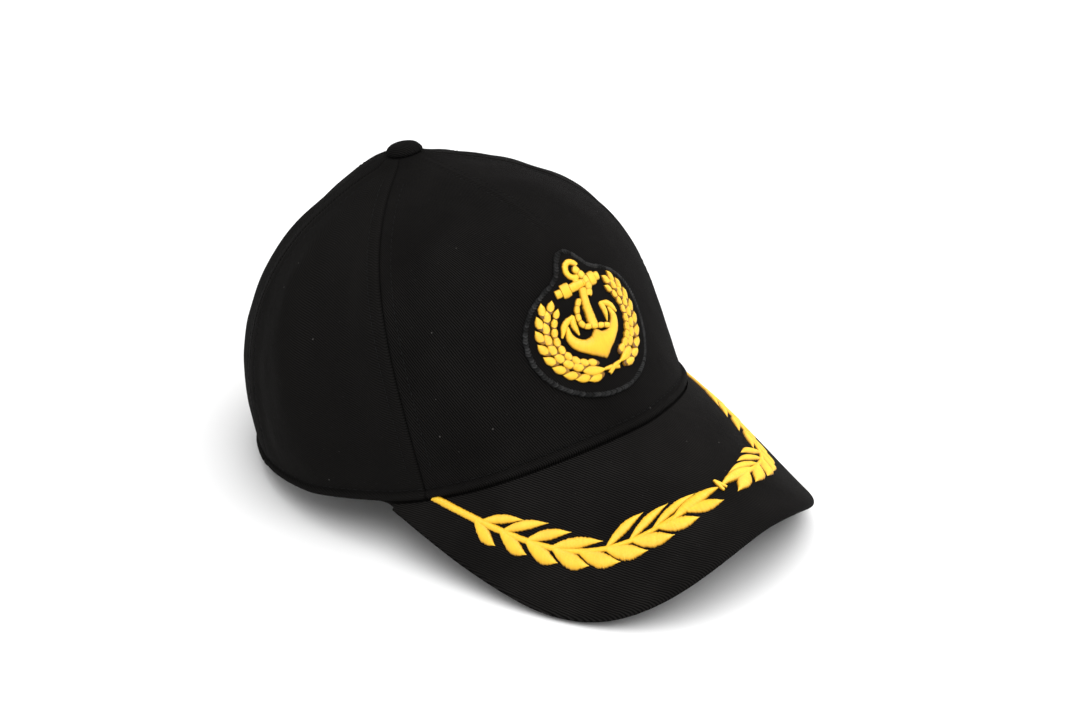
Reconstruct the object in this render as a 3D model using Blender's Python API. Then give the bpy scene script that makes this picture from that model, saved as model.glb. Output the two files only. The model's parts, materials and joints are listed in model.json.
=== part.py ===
"""Five-panel fabric cap with a curved visor, a covered button, an embroidered badge and an adjustable strap.

Every piece is designed in the rim frame: the origin is the centre of the head opening, -Y is the front,
+X is the wearer's left and +Z is up. The empty cap_rest sets that frame on the table, where the cap
rests on its nape and on the two sides of its visor. Lengths are in metres.
"""

import math

import bmesh
import bpy
from mathutils import Matrix, Vector
from mathutils.geometry import delaunay_2d_cdt

MM = 0.001
GAP = 0.3 * MM

# How the cap rests on a table: its front lifts a little, and its rim's centre stands clear by the rest
# height. The shift to the back puts the middle of the whole cap over the origin.
REST_TILT = math.radians(9.32)
REST_HEIGHT = 15.3 * MM
REST_SHIFT = 35.2 * MM

# Head opening: half an ellipse behind and a blunt superellipse in front.
OPENING_BACK = 95.5 * MM
OPENING_FRONT = 108.6 * MM
OPENING_SIDE = 89.2 * MM
OPENING_FRONT_POWER = 1.77

# Crown: the point under the button, and the wall's Bezier handles in front, at the sides and behind,
# as flare at the rim, rise at the rim, reach at the top and fall at the top.
CROWN_TOP = 116.9 * MM
CROWN_TOP_Y = 13.6 * MM
WALL_FRONT = (-0.321, 0.520, 0.972, 0.160)
WALL_SIDE = (0.148, 0.728, 0.584, 0.136)
WALL_BACK = (0.009, 0.519, 0.416, -0.009)
CROWN_ROWS = 13
CROWN_LAST_LEVEL = 0.98

# Seams, as angles from the front. The front seams lean back as they climb.
FRONT_SEAM = math.radians(53.3)
FRONT_SEAM_LEAN = math.radians(13.8)
BACK_SEAM = math.radians(116.0)

# Depths below the crown's outer skin of the layers under it.
CLOTH = 1.0 * MM
TAPE_DEPTHS = (1.3 * MM, 1.9 * MM)
STIFFENER_DEPTHS = (1.3 * MM, 2.0 * MM)
DART_TAPE_DEPTHS = (2.3 * MM, 2.8 * MM)
TAPE_HALF_WIDTH = 6.0 * MM
TAPE_LAST_LEVEL = 0.95
STIFFENER_LAST_LEVEL = 0.88

# The rim runs lower behind the visor's root, so that no slit shows between crown and visor.
SKIRT_VISOR = 4.2 * MM
SKIRT_PLAIN = 0.4 * MM

# Visor: an arched plate that slopes down to the front, measured at the rim of its front.
VISOR_CORNER = math.radians(64.0)
VISOR_ROOT_Z = 18.6 * MM
VISOR_ARCH = 58.8 * MM
VISOR_ARCH_POWER = 1.934
VISOR_ARCH_GROWTH = 2.4
VISOR_SLOPE = 0.632
VISOR_SLOPE_GROWTH = -2.67
VISOR_LENGTH = 60.4 * MM
VISOR_HALF_WIDTH = 82.0 * MM
VISOR_SIDE_POWER = 2.23
VISOR_FRONT_POWER = 2.52
VISOR_COLUMNS = 22
VISOR_LAST_COLUMN = math.radians(83.0)
VISOR_COVER = 0.8 * MM
VISOR_BOARD = 2.0 * MM
VISOR_ROOT_GAP = 0.9 * MM

# Sweatband: a strip folded over a pad, closer to the wall in front than beside the strap.
SWEATBAND_HEIGHT = 32.0 * MM
SWEATBAND_END = math.radians(153.0)
SWEATBAND_DEPTH_FRONT = 2.4 * MM
SWEATBAND_DEPTH_BACK = 6.4 * MM
SWEATBAND_CLOTH = 0.4 * MM
SWEATBAND_THICKNESS = 3.0 * MM
SWEATBAND_COLUMNS = 36
PAD_CLEARANCE = 0.8 * MM
PAD_TOP_CLEARANCE = 2.0 * MM

# Opening over the nape, an arch, and the tape that binds it inside.
ARCH_HALF_ANGLE = math.radians(23.7)
ARCH_HEIGHT = 48.0 * MM
BINDING_WIDTH = 8.0 * MM
BINDING_DEPTHS = (1.7 * MM, 2.3 * MM)

# Strap: it follows a slight cone about the nape's own centre, and slides through the buckle.
NAPE_CENTRE_Y = 12.2 * MM
NAPE_RADIUS = 83.3 * MM
NAPE_CONE = 0.055
STRAP_DEPTHS = (3.5 * MM, 4.4 * MM)
STRAP_HEIGHTS = (3.0 * MM, 23.0 * MM)
STRAP_LEFT_END = math.radians(40.0)
STRAP_RIGHT_END = math.radians(-38.0)
STRAP_COLUMNS = 15

# Flip buckle, in its own seat: x along the strap, y outward, z up the strap.
BUCKLE_ANGLE = math.radians(-11.0)
BUCKLE_LEFT = 10.0 * MM
BUCKLE_RIGHT = -13.0 * MM
BUCKLE_BOTTOM = 0.6 * MM
BUCKLE_TOP = 25.4 * MM
BUCKLE_BACK = -6.8 * MM
BUCKLE_FRONT = 0.9 * MM
BUCKLE_SHEET = 0.9 * MM
BAR_X = -11.3 * MM
BAR_Y = -2.0 * MM
BAR_RADIUS = 0.7 * MM
PIN_X = 7.6 * MM
PIN_Y = -0.8 * MM
PIN_RADIUS = 0.7 * MM
PIN_OVERHANG = 0.4 * MM
LEVER_PLATE = 1.0 * MM
LEVER_BARREL = 1.7 * MM
LEVER_LINE = ((0.0, -1.1), (-5.0, -1.0), (-10.0, -0.9), (-13.4, -0.6), (-15.8, 0.4))
LOOP_THICKNESS = 0.7 * MM
LOOP_DEPTH = 2.5 * MM
LOOP_HEIGHTS = (4.0 * MM, 22.0 * MM)
LOOP_END = math.radians(-34.0)
LOOP_LEAD = 3.8 * MM
LOOP_BEND = (1.6 * MM, 0.5 * MM)

# Button: covered shell above the crown, riveted through it.
BUTTON_RADIUS = 7.6 * MM
BUTTON_RISE = 3.8 * MM
BUTTON_EDGE = 0.7 * MM
BUTTON_UNDERSIDE = 0.3 * MM
BUTTON_TUCK_RADIUS = 5.2 * MM
BUTTON_COVER = 0.7 * MM
BUTTON_SEGMENTS = 24
RIVET_RADIUS = 7.4 * MM
RIVET_HEAD_TOP = -4.1 * MM
RIVET_HEAD_THICKNESS = 1.0 * MM
RIVET_STEM_RADIUS = 1.5 * MM

# Badge: a patch with a small peak, laid on the front panel between two wall levels. It sits a little
# to the wearer's right of the centre line. The peak and the shoulders fade over angles in degrees.
BADGE_FOOT_LEVEL = 0.079
BADGE_HEAD_LEVEL = 0.537
BADGE_SHIFT = -2.2 * MM
BADGE_RADIUS = 30.6 * MM
BADGE_SHOULDER = 8.2 * MM
BADGE_PEAK_SPREAD = 15.0
BADGE_SHOULDER_SPREAD = 62.0
BADGE_BORDER = 2.4 * MM
BADGE_BACKING_HEIGHTS = (0.6 * MM, 1.3 * MM)
BADGE_BORDER_HEIGHTS = (0.6 * MM, 2.4 * MM)
BADGE_THREAD_HEIGHTS = (1.6 * MM, 2.6 * MM)

# Anchor, in the badge's flat frame: x to the wearer's left and y up.
ANCHOR_SHIFT = -1.2 * MM
ANCHOR_FOOT = -15.6 * MM
ANCHOR_HEAD = 19.5 * MM
ANCHOR_SHANK_HALF_WIDTHS = (1.9 * MM, 1.5 * MM, 1.2 * MM)
ANCHOR_STOCK_Y = 15.2 * MM
ANCHOR_STOCK_HALF_LENGTH = 10.8 * MM
ANCHOR_STOCK_HALF_WIDTHS = (1.0 * MM, 1.6 * MM, 1.0 * MM)
ANCHOR_RING_Y = 21.6 * MM
ANCHOR_RING_RADII = (1.5 * MM, 3.2 * MM)
ANCHOR_ARM_Y = 1.0 * MM
ANCHOR_ARM_RADIUS = 11.4 * MM
ANCHOR_ARM_FROM_SIDE = math.radians(4.0)
ANCHOR_ARM_HALF_WIDTHS = (0.9 * MM, 3.6 * MM)
ANCHOR_FLUKE = ((7.0, 5.0), (7.2, -2.6), (14.2, -0.6))
ROPE_SWAY = 5.2 * MM
ROPE_TURNS = 1.25
ROPE_TOP = 19.0 * MM
ROPE_BOTTOM = -8.0 * MM
ROPE_HALF_WIDTH = 0.7 * MM

# Wreath: two arms of three-leaf stations, in the badge's flat frame.
WREATH_SHIFT = -0.5 * MM
WREATH_RADIUS = 20.1 * MM
WREATH_FOOT = math.radians(-88.5)
WREATH_HEAD = math.radians(24.0)
WREATH_STATIONS = 6
WREATH_FIRST_STATION = 0.35
WREATH_STEM_HALF_WIDTH = 0.9 * MM
WREATH_LEAF_WIDTH = 3.7 * MM
WREATH_LEAVES = ((-0.54, 7.4 * MM), (0.10, 8.2 * MM), (0.72, 7.2 * MM))

# Embroidered branches on the visor.
BRANCH_CURVE = ((71.3, -59.5), (64.6, -101.6), (51.5, -141.2), (4.5, -144.6))
BRANCH_PAIRS = 9
BRANCH_BARE = 0.145
BRANCH_HEIGHTS = (0.6 * MM, 1.7 * MM)
BRANCH_STEM = 2.2 * MM
LEAF_LENGTH = 15.5 * MM
LEAF_WIDTH = 4.4 * MM
LEAF_SPREAD = math.radians(18.0)
TIE_HALF_LENGTH = 4.5 * MM
TIE_HALF_WIDTH = 3.4 * MM
TIE_WAIST = 2.6 * MM

# Base colour, roughness and metallic value of each material.
MATERIALS = {
    "black_twill": ((0.010, 0.010, 0.012), 0.92, 0.0),
    "black_lining": ((0.018, 0.018, 0.020), 0.88, 0.0),
    "white_buckram": ((0.62, 0.60, 0.55), 0.85, 0.0),
    "foam": ((0.30, 0.30, 0.31), 0.95, 0.0),
    "board": ((0.08, 0.08, 0.09), 0.55, 0.0),
    "gold_thread": ((0.88, 0.55, 0.05), 0.45, 0.0),
    "border_thread": ((0.030, 0.030, 0.034), 0.70, 0.0),
    "brass": ((0.55, 0.40, 0.19), 0.35, 1.0),
    "steel": ((0.50, 0.50, 0.51), 0.40, 1.0),
}


def clear_scene():
    for item in list(bpy.data.objects):
        bpy.data.objects.remove(item, do_unlink=True)


def make_material(name):
    colour, roughness, metallic = MATERIALS[name]
    material = bpy.data.materials.new(name)
    material.use_nodes = True
    shader = material.node_tree.nodes["Principled BSDF"]
    shader.inputs["Base Color"].default_value = (*colour, 1.0)
    shader.inputs["Roughness"].default_value = roughness
    shader.inputs["Metallic"].default_value = metallic
    return material


def add_empty(name, parent=None, location=(0.0, 0.0, 0.0), rotation=(0.0, 0.0, 0.0)):
    empty = bpy.data.objects.new(name, None)
    empty.parent = parent
    empty.location = location
    empty.rotation_euler = rotation
    bpy.context.scene.collection.objects.link(empty)
    return empty


def add_solid(name, mesh, material, parent):
    """Turns a closed bmesh into a named object with its faces pointing out."""
    bmesh.ops.recalc_face_normals(mesh, faces=mesh.faces)
    data = bpy.data.meshes.new(name)
    mesh.to_mesh(data)
    mesh.free()
    data.shade_smooth()
    data.set_sharp_from_angle(angle=math.radians(40.0))
    data.materials.append(make_material(material))
    solid = bpy.data.objects.new(name, data)
    solid.parent = parent
    bpy.context.scene.collection.objects.link(solid)
    return solid


def smooth(low, high, value):
    share = min(max((value - low) / (high - low), 0.0), 1.0)
    return share * share * (3.0 - 2.0 * share)


def spread(first, last, steps):
    return [first + (last - first) * i / steps for i in range(steps + 1)]


# ---- Closed bodies from two matching grids, and from flat outlines ----


def sheet(outer, inner):
    """The closed body between two grids of points that have the same rows and columns."""
    mesh = bmesh.new()
    top = [[mesh.verts.new(point) for point in row] for row in outer]
    under = [[mesh.verts.new(point) for point in row] for row in inner]
    rows = len(top) - 1
    columns = len(top[0]) - 1
    for i in range(rows):
        for j in range(columns):
            for grid in (top, under):
                mesh.faces.new((grid[i][j], grid[i + 1][j], grid[i + 1][j + 1], grid[i][j + 1]))
    for i in range(rows):
        for j in (0, columns):
            mesh.faces.new((top[i][j], top[i + 1][j], under[i + 1][j], under[i][j]))
    for j in range(columns):
        for i in (0, rows):
            mesh.faces.new((top[i][j], top[i][j + 1], under[i][j + 1], under[i][j]))
    return mesh


def is_inside(x, y, outline):
    inside = False
    for (x0, y0), (x1, y1) in zip(outline, outline[1:] + outline[:1]):
        if (y0 > y) != (y1 > y) and x < x0 + (x1 - x0) * (y - y0) / (y1 - y0):
            inside = not inside
    return inside


def clearance(x, y, outlines):
    """Distance from a point to the nearest edge of the outlines."""
    nearest = math.inf
    for outline in outlines:
        for (x0, y0), (x1, y1) in zip(outline, outline[1:] + outline[:1]):
            dx = x1 - x0
            dy = y1 - y0
            share = ((x - x0) * dx + (y - y0) * dy) / (dx * dx + dy * dy)
            share = min(max(share, 0.0), 1.0)
            nearest = min(nearest, math.hypot(x - x0 - share * dx, y - y0 - share * dy))
    return nearest


def filling_points(outlines, holes, spacing):
    """Inner points on a grid, so that a wide plate can follow a curved surface."""
    xs = [x for outline in outlines for x, _ in outline]
    ys = [y for outline in outlines for _, y in outline]
    points = []
    for i in range(int((max(xs) - min(xs)) / spacing) + 1):
        for j in range(int((max(ys) - min(ys)) / spacing) + 1):
            x = min(xs) + (i + 0.5) * spacing
            y = min(ys) + (j + 0.5) * spacing
            if not any(is_inside(x, y, outline) for outline in outlines):
                continue
            if clearance(x, y, outlines + holes) > 0.4 * spacing:
                points.append((x, y))
    return points


def merged_plate(outlines, holes, spacing, place):
    """The closed plate over the union of flat outlines, less its holes.

    place(x, y, side) gives a corner's point in space, with side 0 for the bottom and 1 for the top.
    """
    points = []
    faces = []
    edges = []
    for outline in outlines:
        faces.append(list(range(len(points), len(points) + len(outline))))
        points.extend(outline)
    for hole in holes:
        first = len(points)
        edges.extend((first + i, first + (i + 1) % len(hole)) for i in range(len(hole)))
        points.extend(hole)
    points.extend(filling_points(outlines, holes, spacing))
    found = delaunay_2d_cdt([Vector(p) for p in points], edges, faces, 1, 1e-7)
    flat = found[0]
    triangles = []
    for triangle in found[2]:
        x = sum(flat[i].x for i in triangle) / 3.0
        y = sum(flat[i].y for i in triangle) / 3.0
        if not any(is_inside(x, y, hole) for hole in holes):
            triangles.append(triangle)
    used = sorted({i for triangle in triangles for i in triangle})
    mesh = bmesh.new()
    low = {i: mesh.verts.new(place(flat[i].x, flat[i].y, 0)) for i in used}
    high = {i: mesh.verts.new(place(flat[i].x, flat[i].y, 1)) for i in used}
    borders = {}
    for triangle in triangles:
        mesh.faces.new([high[i] for i in triangle])
        mesh.faces.new([low[i] for i in reversed(triangle)])
        for a, b in zip(triangle, triangle[1:] + triangle[:1]):
            borders[(a, b)] = True
    for a, b in borders:
        if (b, a) not in borders:
            mesh.faces.new((low[a], low[b], high[b], high[a]))
    return mesh


def circle(x, y, radius, segments, start=0.0):
    turns = [start + 2.0 * math.pi * i / segments for i in range(segments)]
    return [(x + radius * math.cos(turn), y + radius * math.sin(turn)) for turn in turns]


def ribbon(line, half_widths):
    """Outline of a band that follows an open line of points."""
    left = []
    right = []
    for i, (x, y) in enumerate(line):
        x0, y0 = line[max(i - 1, 0)]
        x1, y1 = line[min(i + 1, len(line) - 1)]
        length = math.hypot(x1 - x0, y1 - y0)
        nx = (y0 - y1) / length * half_widths[i]
        ny = (x1 - x0) / length * half_widths[i]
        left.append((x + nx, y + ny))
        right.append((x - nx, y - ny))
    return right + left[::-1]


def leaf(x, y, direction, length, width):
    """Outline of a pointed leaf that grows from a point along a direction."""
    shares = (0.0, 0.22, 0.50, 0.78)
    swells = (0.12, 0.44, 0.50, 0.30)
    side = [(share * length, swell * width) for share, swell in zip(shares, swells)]
    outline = [(along, -across) for along, across in side] + [(length, 0.0)] + side[::-1]
    c = math.cos(direction)
    s = math.sin(direction)
    return [(x + c * along - s * across, y + s * along + c * across) for along, across in outline]


# ---- Crown and visor surfaces ----


def rim_xy(theta):
    s = math.sin(theta)
    c = math.cos(theta)
    length = OPENING_FRONT if c > 0 else OPENING_BACK
    power = OPENING_FRONT_POWER if c > 0 else 2.0
    radius = (abs(s / OPENING_SIDE) ** power + abs(c / length) ** power) ** (-1.0 / power)
    return radius * s, -radius * c


def visor_z(x, y):
    forward = -y - OPENING_FRONT
    arch = VISOR_ARCH * (1.0 + VISOR_ARCH_GROWTH * forward)
    slope = VISOR_SLOPE * forward + VISOR_SLOPE_GROWTH * forward * abs(forward)
    return VISOR_ROOT_Z - arch * abs(x / VISOR_HALF_WIDTH) ** VISOR_ARCH_POWER - slope


def rim_z(theta):
    """The rim follows the visor's root in front and falls to zero behind its corners."""
    if abs(theta) < VISOR_CORNER:
        return visor_z(*rim_xy(theta))
    fade = smooth(VISOR_CORNER, VISOR_CORNER + math.radians(30.0), abs(theta))
    return visor_z(*rim_xy(VISOR_CORNER)) * (1.0 - fade)


def crown_point(theta, level):
    """Point of the crown's outer skin: level 0 is the rim and level 1 is under the button."""
    x, y = rim_xy(theta)
    z = rim_z(theta)
    c = math.cos(theta)
    front = c * c if c > 0 else 0.0
    back = 0.0 if c > 0 else c * c
    side = 1.0 - front - back
    handles = [front * f + side * s + back * b for f, s, b in zip(WALL_FRONT, WALL_SIDE, WALL_BACK)]
    flare, rise, reach, fall = handles
    rest = 1.0 - level
    w0 = rest**3
    w1 = 3.0 * rest * rest * level
    w2 = 3.0 * rest * level * level
    w3 = level**3
    spread_out = w0 + w1 * (1.0 + flare) + w2 * reach
    height = w0 * z + w1 * (z + rise * CROWN_TOP) + w2 * CROWN_TOP * (1.0 - fall) + w3 * CROWN_TOP
    return Vector((x * spread_out, CROWN_TOP_Y + (y - CROWN_TOP_Y) * spread_out, height))


def crown_normal(theta, level):
    step = 1e-4
    around = crown_point(theta + step, level) - crown_point(theta - step, level)
    up = crown_point(theta, level + step) - crown_point(theta, level - step)
    return around.cross(up).normalized()


def crown_radius(theta, level):
    """Distance from the button's axis."""
    point = crown_point(theta, level)
    return math.hypot(point.x, point.y - CROWN_TOP_Y)


def wall(theta, level, depth):
    """Point at a depth under the crown's skin; a level below 0 is the lower edge under the rim."""
    normal = crown_normal(theta, max(level, 0.0))
    if level >= 0.0:
        return crown_point(theta, level) - depth * normal
    hidden = 1.0 - smooth(VISOR_CORNER - math.radians(5.0), VISOR_CORNER + math.radians(3.0), abs(theta))
    drop = SKIRT_PLAIN + (SKIRT_VISOR - SKIRT_PLAIN) * hidden
    inward = Vector((-normal.x, -normal.y, 0.0)).normalized()
    return crown_point(theta, 0.0) + depth * inward - Vector((0.0, 0.0, drop))


def climb(theta, distance):
    """Level at a distance up the wall from the rim."""
    steps = 60
    travelled = 0.0
    previous = crown_point(theta, 0.0)
    for i in range(1, steps + 1):
        point = crown_point(theta, i / steps)
        length = (point - previous).length
        if travelled + length >= distance:
            return (i - 1 + (distance - travelled) / length) / steps
        travelled += length
        previous = point
    return 1.0


def layer(pairs, depths):
    """Closed cloth layer over a grid of (angle, level) pairs, between two depths."""
    outer = [[wall(theta, level, depths[0]) for theta, level in row] for row in pairs]
    inner = [[wall(theta, level, depths[1]) for theta, level in row] for row in pairs]
    return sheet(outer, inner)


def front_seam(level):
    return FRONT_SEAM + FRONT_SEAM_LEAN * max(level, 0.0)


def angle_of(length, theta, level):
    """Angle about the button's axis that spans a length on the skin."""
    return length / crown_radius(theta, max(level, 0.0))


# ---- Crown panels and what is sewn to them ----

PANEL_LEVELS = [-1.0] + spread(0.0, CROWN_LAST_LEVEL, CROWN_ROWS)


def build_front_panel(parent):
    pairs = []
    for share in spread(-1.0, 1.0, 20):
        row = []
        for level in PANEL_LEVELS:
            seam = front_seam(level)
            row.append((share * (seam - angle_of(GAP / 2, seam, level)), level))
        pairs.append(row)
    add_solid("front_panel", layer(pairs, (0.0, CLOTH)), "black_twill", parent)


def build_side_panels(parent):
    for name, sign in (("side_panel_left", 1.0), ("side_panel_right", -1.0)):
        pairs = []
        for share in spread(0.0, 1.0, 10):
            row = []
            for level in PANEL_LEVELS:
                seam = front_seam(level)
                first = seam + angle_of(GAP / 2, seam, level)
                last = BACK_SEAM - angle_of(GAP / 2, BACK_SEAM, level)
                row.append((sign * (first + (last - first) * share), level))
            pairs.append(row)
        add_solid(name, layer(pairs, (0.0, CLOTH)), "black_twill", parent)


def arch_level(theta):
    """Level of the nape opening's edge, or 0 beside the opening."""
    share = (math.pi - abs(theta)) / ARCH_HALF_ANGLE
    if share >= 1.0:
        return 0.0
    return climb(theta, ARCH_HEIGHT * math.sqrt(1.0 - share * share))


def back_columns():
    """Angles of a back panel's columns: even beside the opening, and even round the arch above it."""
    beside = spread(BACK_SEAM, math.pi - ARCH_HALF_ANGLE, 6)
    turns = spread(0.0, math.pi / 2, 6)
    return beside + [math.pi - ARCH_HALF_ANGLE * math.cos(turn) for turn in turns[1:]]


def build_back_panels(parent):
    for name, sign in (("back_panel_left", 1.0), ("back_panel_right", -1.0)):
        columns = back_columns()
        pairs = []
        for theta in columns:
            lowest = arch_level(theta)
            row = []
            for share in spread(0.0, 1.0, CROWN_ROWS):
                level = lowest + (CROWN_LAST_LEVEL - lowest) * share
                edge = angle_of(GAP / 2, theta, level)
                if theta == columns[0]:
                    row.append((sign * (theta + edge), level))
                elif theta == columns[-1]:
                    row.append((sign * (theta - edge), level))
                else:
                    row.append((sign * theta, level))
            pairs.append(row)
        add_solid(name, layer(pairs, (0.0, CLOTH)), "black_twill", parent)


def build_front_stiffener(parent):
    levels = [-1.0] + spread(0.0, CROWN_LAST_LEVEL, CROWN_ROWS)[: CROWN_ROWS - 1]
    pairs = []
    for share in spread(-1.0, 1.0, 18):
        row = []
        for level in levels:
            seam = front_seam(level)
            inset = angle_of(TAPE_HALF_WIDTH + 2 * GAP, seam, level)
            row.append((share * (seam - inset), level))
        pairs.append(row)
    add_solid("front_stiffener", layer(pairs, STIFFENER_DEPTHS), "white_buckram", parent)


def tape(name, centre, levels, depths, parent):
    """Seam tape along a line of angles, narrower where the tapes meet near the button."""
    pairs = [[], [], []]
    for level in levels:
        theta = centre(level)
        radius = crown_radius(theta, level)
        half = min(TAPE_HALF_WIDTH, 0.33 * radius) / radius
        for row, side in zip(pairs, (-1.0, 0.0, 1.0)):
            row.append((theta + side * half, level))
    add_solid(name, layer(pairs, depths), "black_lining", parent)


def build_seam_tapes(parent):
    levels = [level for level in spread(0.0, CROWN_LAST_LEVEL, CROWN_ROWS) if level < TAPE_LAST_LEVEL]
    tape("seam_tape_front_left", front_seam, levels, TAPE_DEPTHS, parent)
    tape("seam_tape_front_right", lambda level: -front_seam(level), levels, TAPE_DEPTHS, parent)
    tape("seam_tape_side_left", lambda level: BACK_SEAM, levels, TAPE_DEPTHS, parent)
    tape("seam_tape_side_right", lambda level: -BACK_SEAM, levels, TAPE_DEPTHS, parent)
    dart = [level for level in levels if level > BADGE_HEAD_LEVEL - 0.05]
    tape("dart_tape", lambda level: 0.0, dart, DART_TAPE_DEPTHS, parent)
    lowest = arch_level(math.pi)
    start = climb(math.pi, ARCH_HEIGHT + BINDING_WIDTH + 3 * GAP)
    rows = [lowest + (CROWN_LAST_LEVEL - lowest) * share for share in spread(0.0, 1.0, CROWN_ROWS)]
    rows = [start] + [level for level in rows if start + 0.01 < level < TAPE_LAST_LEVEL]
    tape("seam_tape_back", lambda level: math.pi, rows, TAPE_DEPTHS, parent)


def build_opening_binding(parent):
    """Tape inside the arch's edge, from one foot of the arch over its top to the other."""
    pairs = []
    for turn in spread(0.0, math.pi, 18):
        row = []
        for grow in (GAP, BINDING_WIDTH):
            half_angle = ARCH_HALF_ANGLE + grow / NAPE_RADIUS
            theta = math.pi - half_angle * math.cos(turn)
            row.append((theta, climb(theta, (ARCH_HEIGHT + grow) * math.sin(turn))))
        pairs.append(row)
    add_solid("opening_binding", layer(pairs, BINDING_DEPTHS), "black_lining", parent)


def sweatband_depth(theta):
    back = smooth(math.radians(100.0), math.radians(126.0), abs(theta))
    return SWEATBAND_DEPTH_FRONT + (SWEATBAND_DEPTH_BACK - SWEATBAND_DEPTH_FRONT) * back


def build_sweatband(parent):
    """Strip folded over at its top, with its two lower edges sewn to the rim, and the pad inside."""
    cloth = SWEATBAND_CLOTH
    whole = SWEATBAND_THICKNESS
    high = SWEATBAND_HEIGHT
    middle = high / 2
    outside = ((-1.0, 0.0), (0.0, 0.0), (middle, 0.0), (high, 0.0))
    outside += ((high, whole), (middle, whole), (0.0, whole), (-1.0, whole))
    fold = high - cloth
    back = whole - cloth
    inside = ((-1.0, cloth), (0.0, cloth), (middle, cloth), (fold, cloth))
    inside += ((fold, back), (middle, back), (0.0, back), (-1.0, back))
    near = cloth + PAD_CLEARANCE
    far = back - PAD_CLEARANCE
    pad_heights = (0.0, middle, high - PAD_TOP_CLEARANCE)

    def place(theta, height, depth):
        level = climb(theta, height) if height >= 0.0 else height
        return wall(theta, level, sweatband_depth(theta) + depth)

    angles = spread(-SWEATBAND_END, SWEATBAND_END, SWEATBAND_COLUMNS)
    outer = [[place(theta, *step) for step in outside] for theta in angles]
    inner = [[place(theta, *step) for step in inside] for theta in angles]
    add_solid("sweatband_cover", sheet(outer, inner), "black_lining", parent)
    outer = [[place(theta, height, near) for height in pad_heights] for theta in angles]
    inner = [[place(theta, height, far) for height in pad_heights] for theta in angles]
    add_solid("sweatband_padding", sheet(outer, inner), "foam", parent)


# ---- Button ----


def lathe(profile, segments):
    """Spins a closed profile of (radius, height) points about the button's axis."""
    mesh = bmesh.new()
    centre = Vector((0.0, CROWN_TOP_Y, CROWN_TOP))
    points = [mesh.verts.new(centre + Vector((radius, 0.0, height))) for radius, height in profile]
    edges = [mesh.edges.new(pair) for pair in zip(points, points[1:])]
    if profile[0][0] > 0.0:
        edges.append(mesh.edges.new((points[-1], points[0])))
    turn = 2.0 * math.pi
    bmesh.ops.spin(mesh, geom=edges, cent=centre, axis=(0, 0, 1), angle=turn, steps=segments, use_merge=True)
    bmesh.ops.remove_doubles(mesh, verts=mesh.verts, dist=0.01 * MM)
    return mesh


def dome(radius, top, edge, steps):
    """Points from the axis out to the edge of a domed disc."""
    turns = spread(0.0, math.pi / 2, steps)
    return [(radius * math.sin(turn), edge + (top - edge) * math.cos(turn)) for turn in turns]


def build_button(parent):
    edge = BUTTON_EDGE
    shell_radius = BUTTON_RADIUS - BUTTON_COVER - GAP
    shell_top = BUTTON_RISE - BUTTON_COVER - GAP
    outside = dome(BUTTON_RADIUS, BUTTON_RISE, edge, 6)
    under = [(BUTTON_RADIUS - BUTTON_COVER, BUTTON_UNDERSIDE)]
    under += [(BUTTON_TUCK_RADIUS, BUTTON_UNDERSIDE), (BUTTON_TUCK_RADIUS, edge)]
    inside = dome(BUTTON_RADIUS - BUTTON_COVER, BUTTON_RISE - BUTTON_COVER, edge, 6)[::-1]
    add_solid("button_cover", lathe(outside + under + inside, BUTTON_SEGMENTS), "black_twill", parent)
    shell = dome(shell_radius, shell_top, edge + GAP, 5) + [(0.0, edge + GAP)]
    add_solid("button_shell", lathe(shell, BUTTON_SEGMENTS), "steel", parent)
    head_bottom = RIVET_HEAD_TOP - RIVET_HEAD_THICKNESS
    rivet = [(0.0, edge), (RIVET_STEM_RADIUS, edge), (RIVET_STEM_RADIUS, RIVET_HEAD_TOP)]
    rivet += [(RIVET_RADIUS, RIVET_HEAD_TOP), (RIVET_RADIUS, head_bottom), (0.0, head_bottom)]
    add_solid("button_rivet", lathe(rivet, BUTTON_SEGMENTS), "steel", parent)


# ---- Visor ----


def visor_edge(turn):
    """Plan point of the visor's free edge: turn 0 is its front and plus or minus 90 degrees its corners."""
    s = math.sin(turn)
    x = VISOR_HALF_WIDTH * math.copysign(abs(s) ** (2.0 / VISOR_SIDE_POWER), s)
    corner_y = rim_xy(VISOR_CORNER)[1]
    front_y = -OPENING_FRONT - VISOR_LENGTH
    return Vector((x, corner_y + (front_y - corner_y) * math.cos(turn) ** (2.0 / VISOR_FRONT_POWER)))


def visor_normal(x, y):
    step = 1e-5
    slope_x = (visor_z(x + step, y) - visor_z(x - step, y)) / (2 * step)
    slope_y = (visor_z(x, y + step) - visor_z(x, y - step)) / (2 * step)
    return Vector((-slope_x, -slope_y, 1.0)).normalized()


def visor_point(turn, share, inset, depth):
    """Point under the visor's top: share 0 is its root at the crown and share 1 its free edge."""
    step = 1e-4
    theta = VISOR_CORNER * turn / (math.pi / 2)
    along_root = Vector(rim_xy(theta + step)) - Vector(rim_xy(theta - step))
    along_edge = visor_edge(turn + step) - visor_edge(turn - step)
    root = Vector(rim_xy(theta)) - along_root.orthogonal().normalized() * VISOR_ROOT_GAP
    edge = visor_edge(turn) + along_edge.orthogonal().normalized() * inset
    plan = root + (edge - root) * share
    normal = visor_normal(plan.x, plan.y)
    top = Vector((plan.x, plan.y, visor_z(plan.x, plan.y)))
    if share == 0.0:
        return top - Vector((0.0, 0.0, depth / normal.z))
    return top - normal * depth


def visor_sheet(outside, inside):
    """Closed visor layer between two paths of (share, inset, depth) steps."""
    turns = [VISOR_LAST_COLUMN * math.sin(s) for s in spread(-math.pi / 2, math.pi / 2, VISOR_COLUMNS)]
    outer = [[visor_point(turn, *step) for step in outside] for turn in turns]
    inner = [[visor_point(turn, *step) for step in inside] for turn in turns]
    return sheet(outer, inner)


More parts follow.
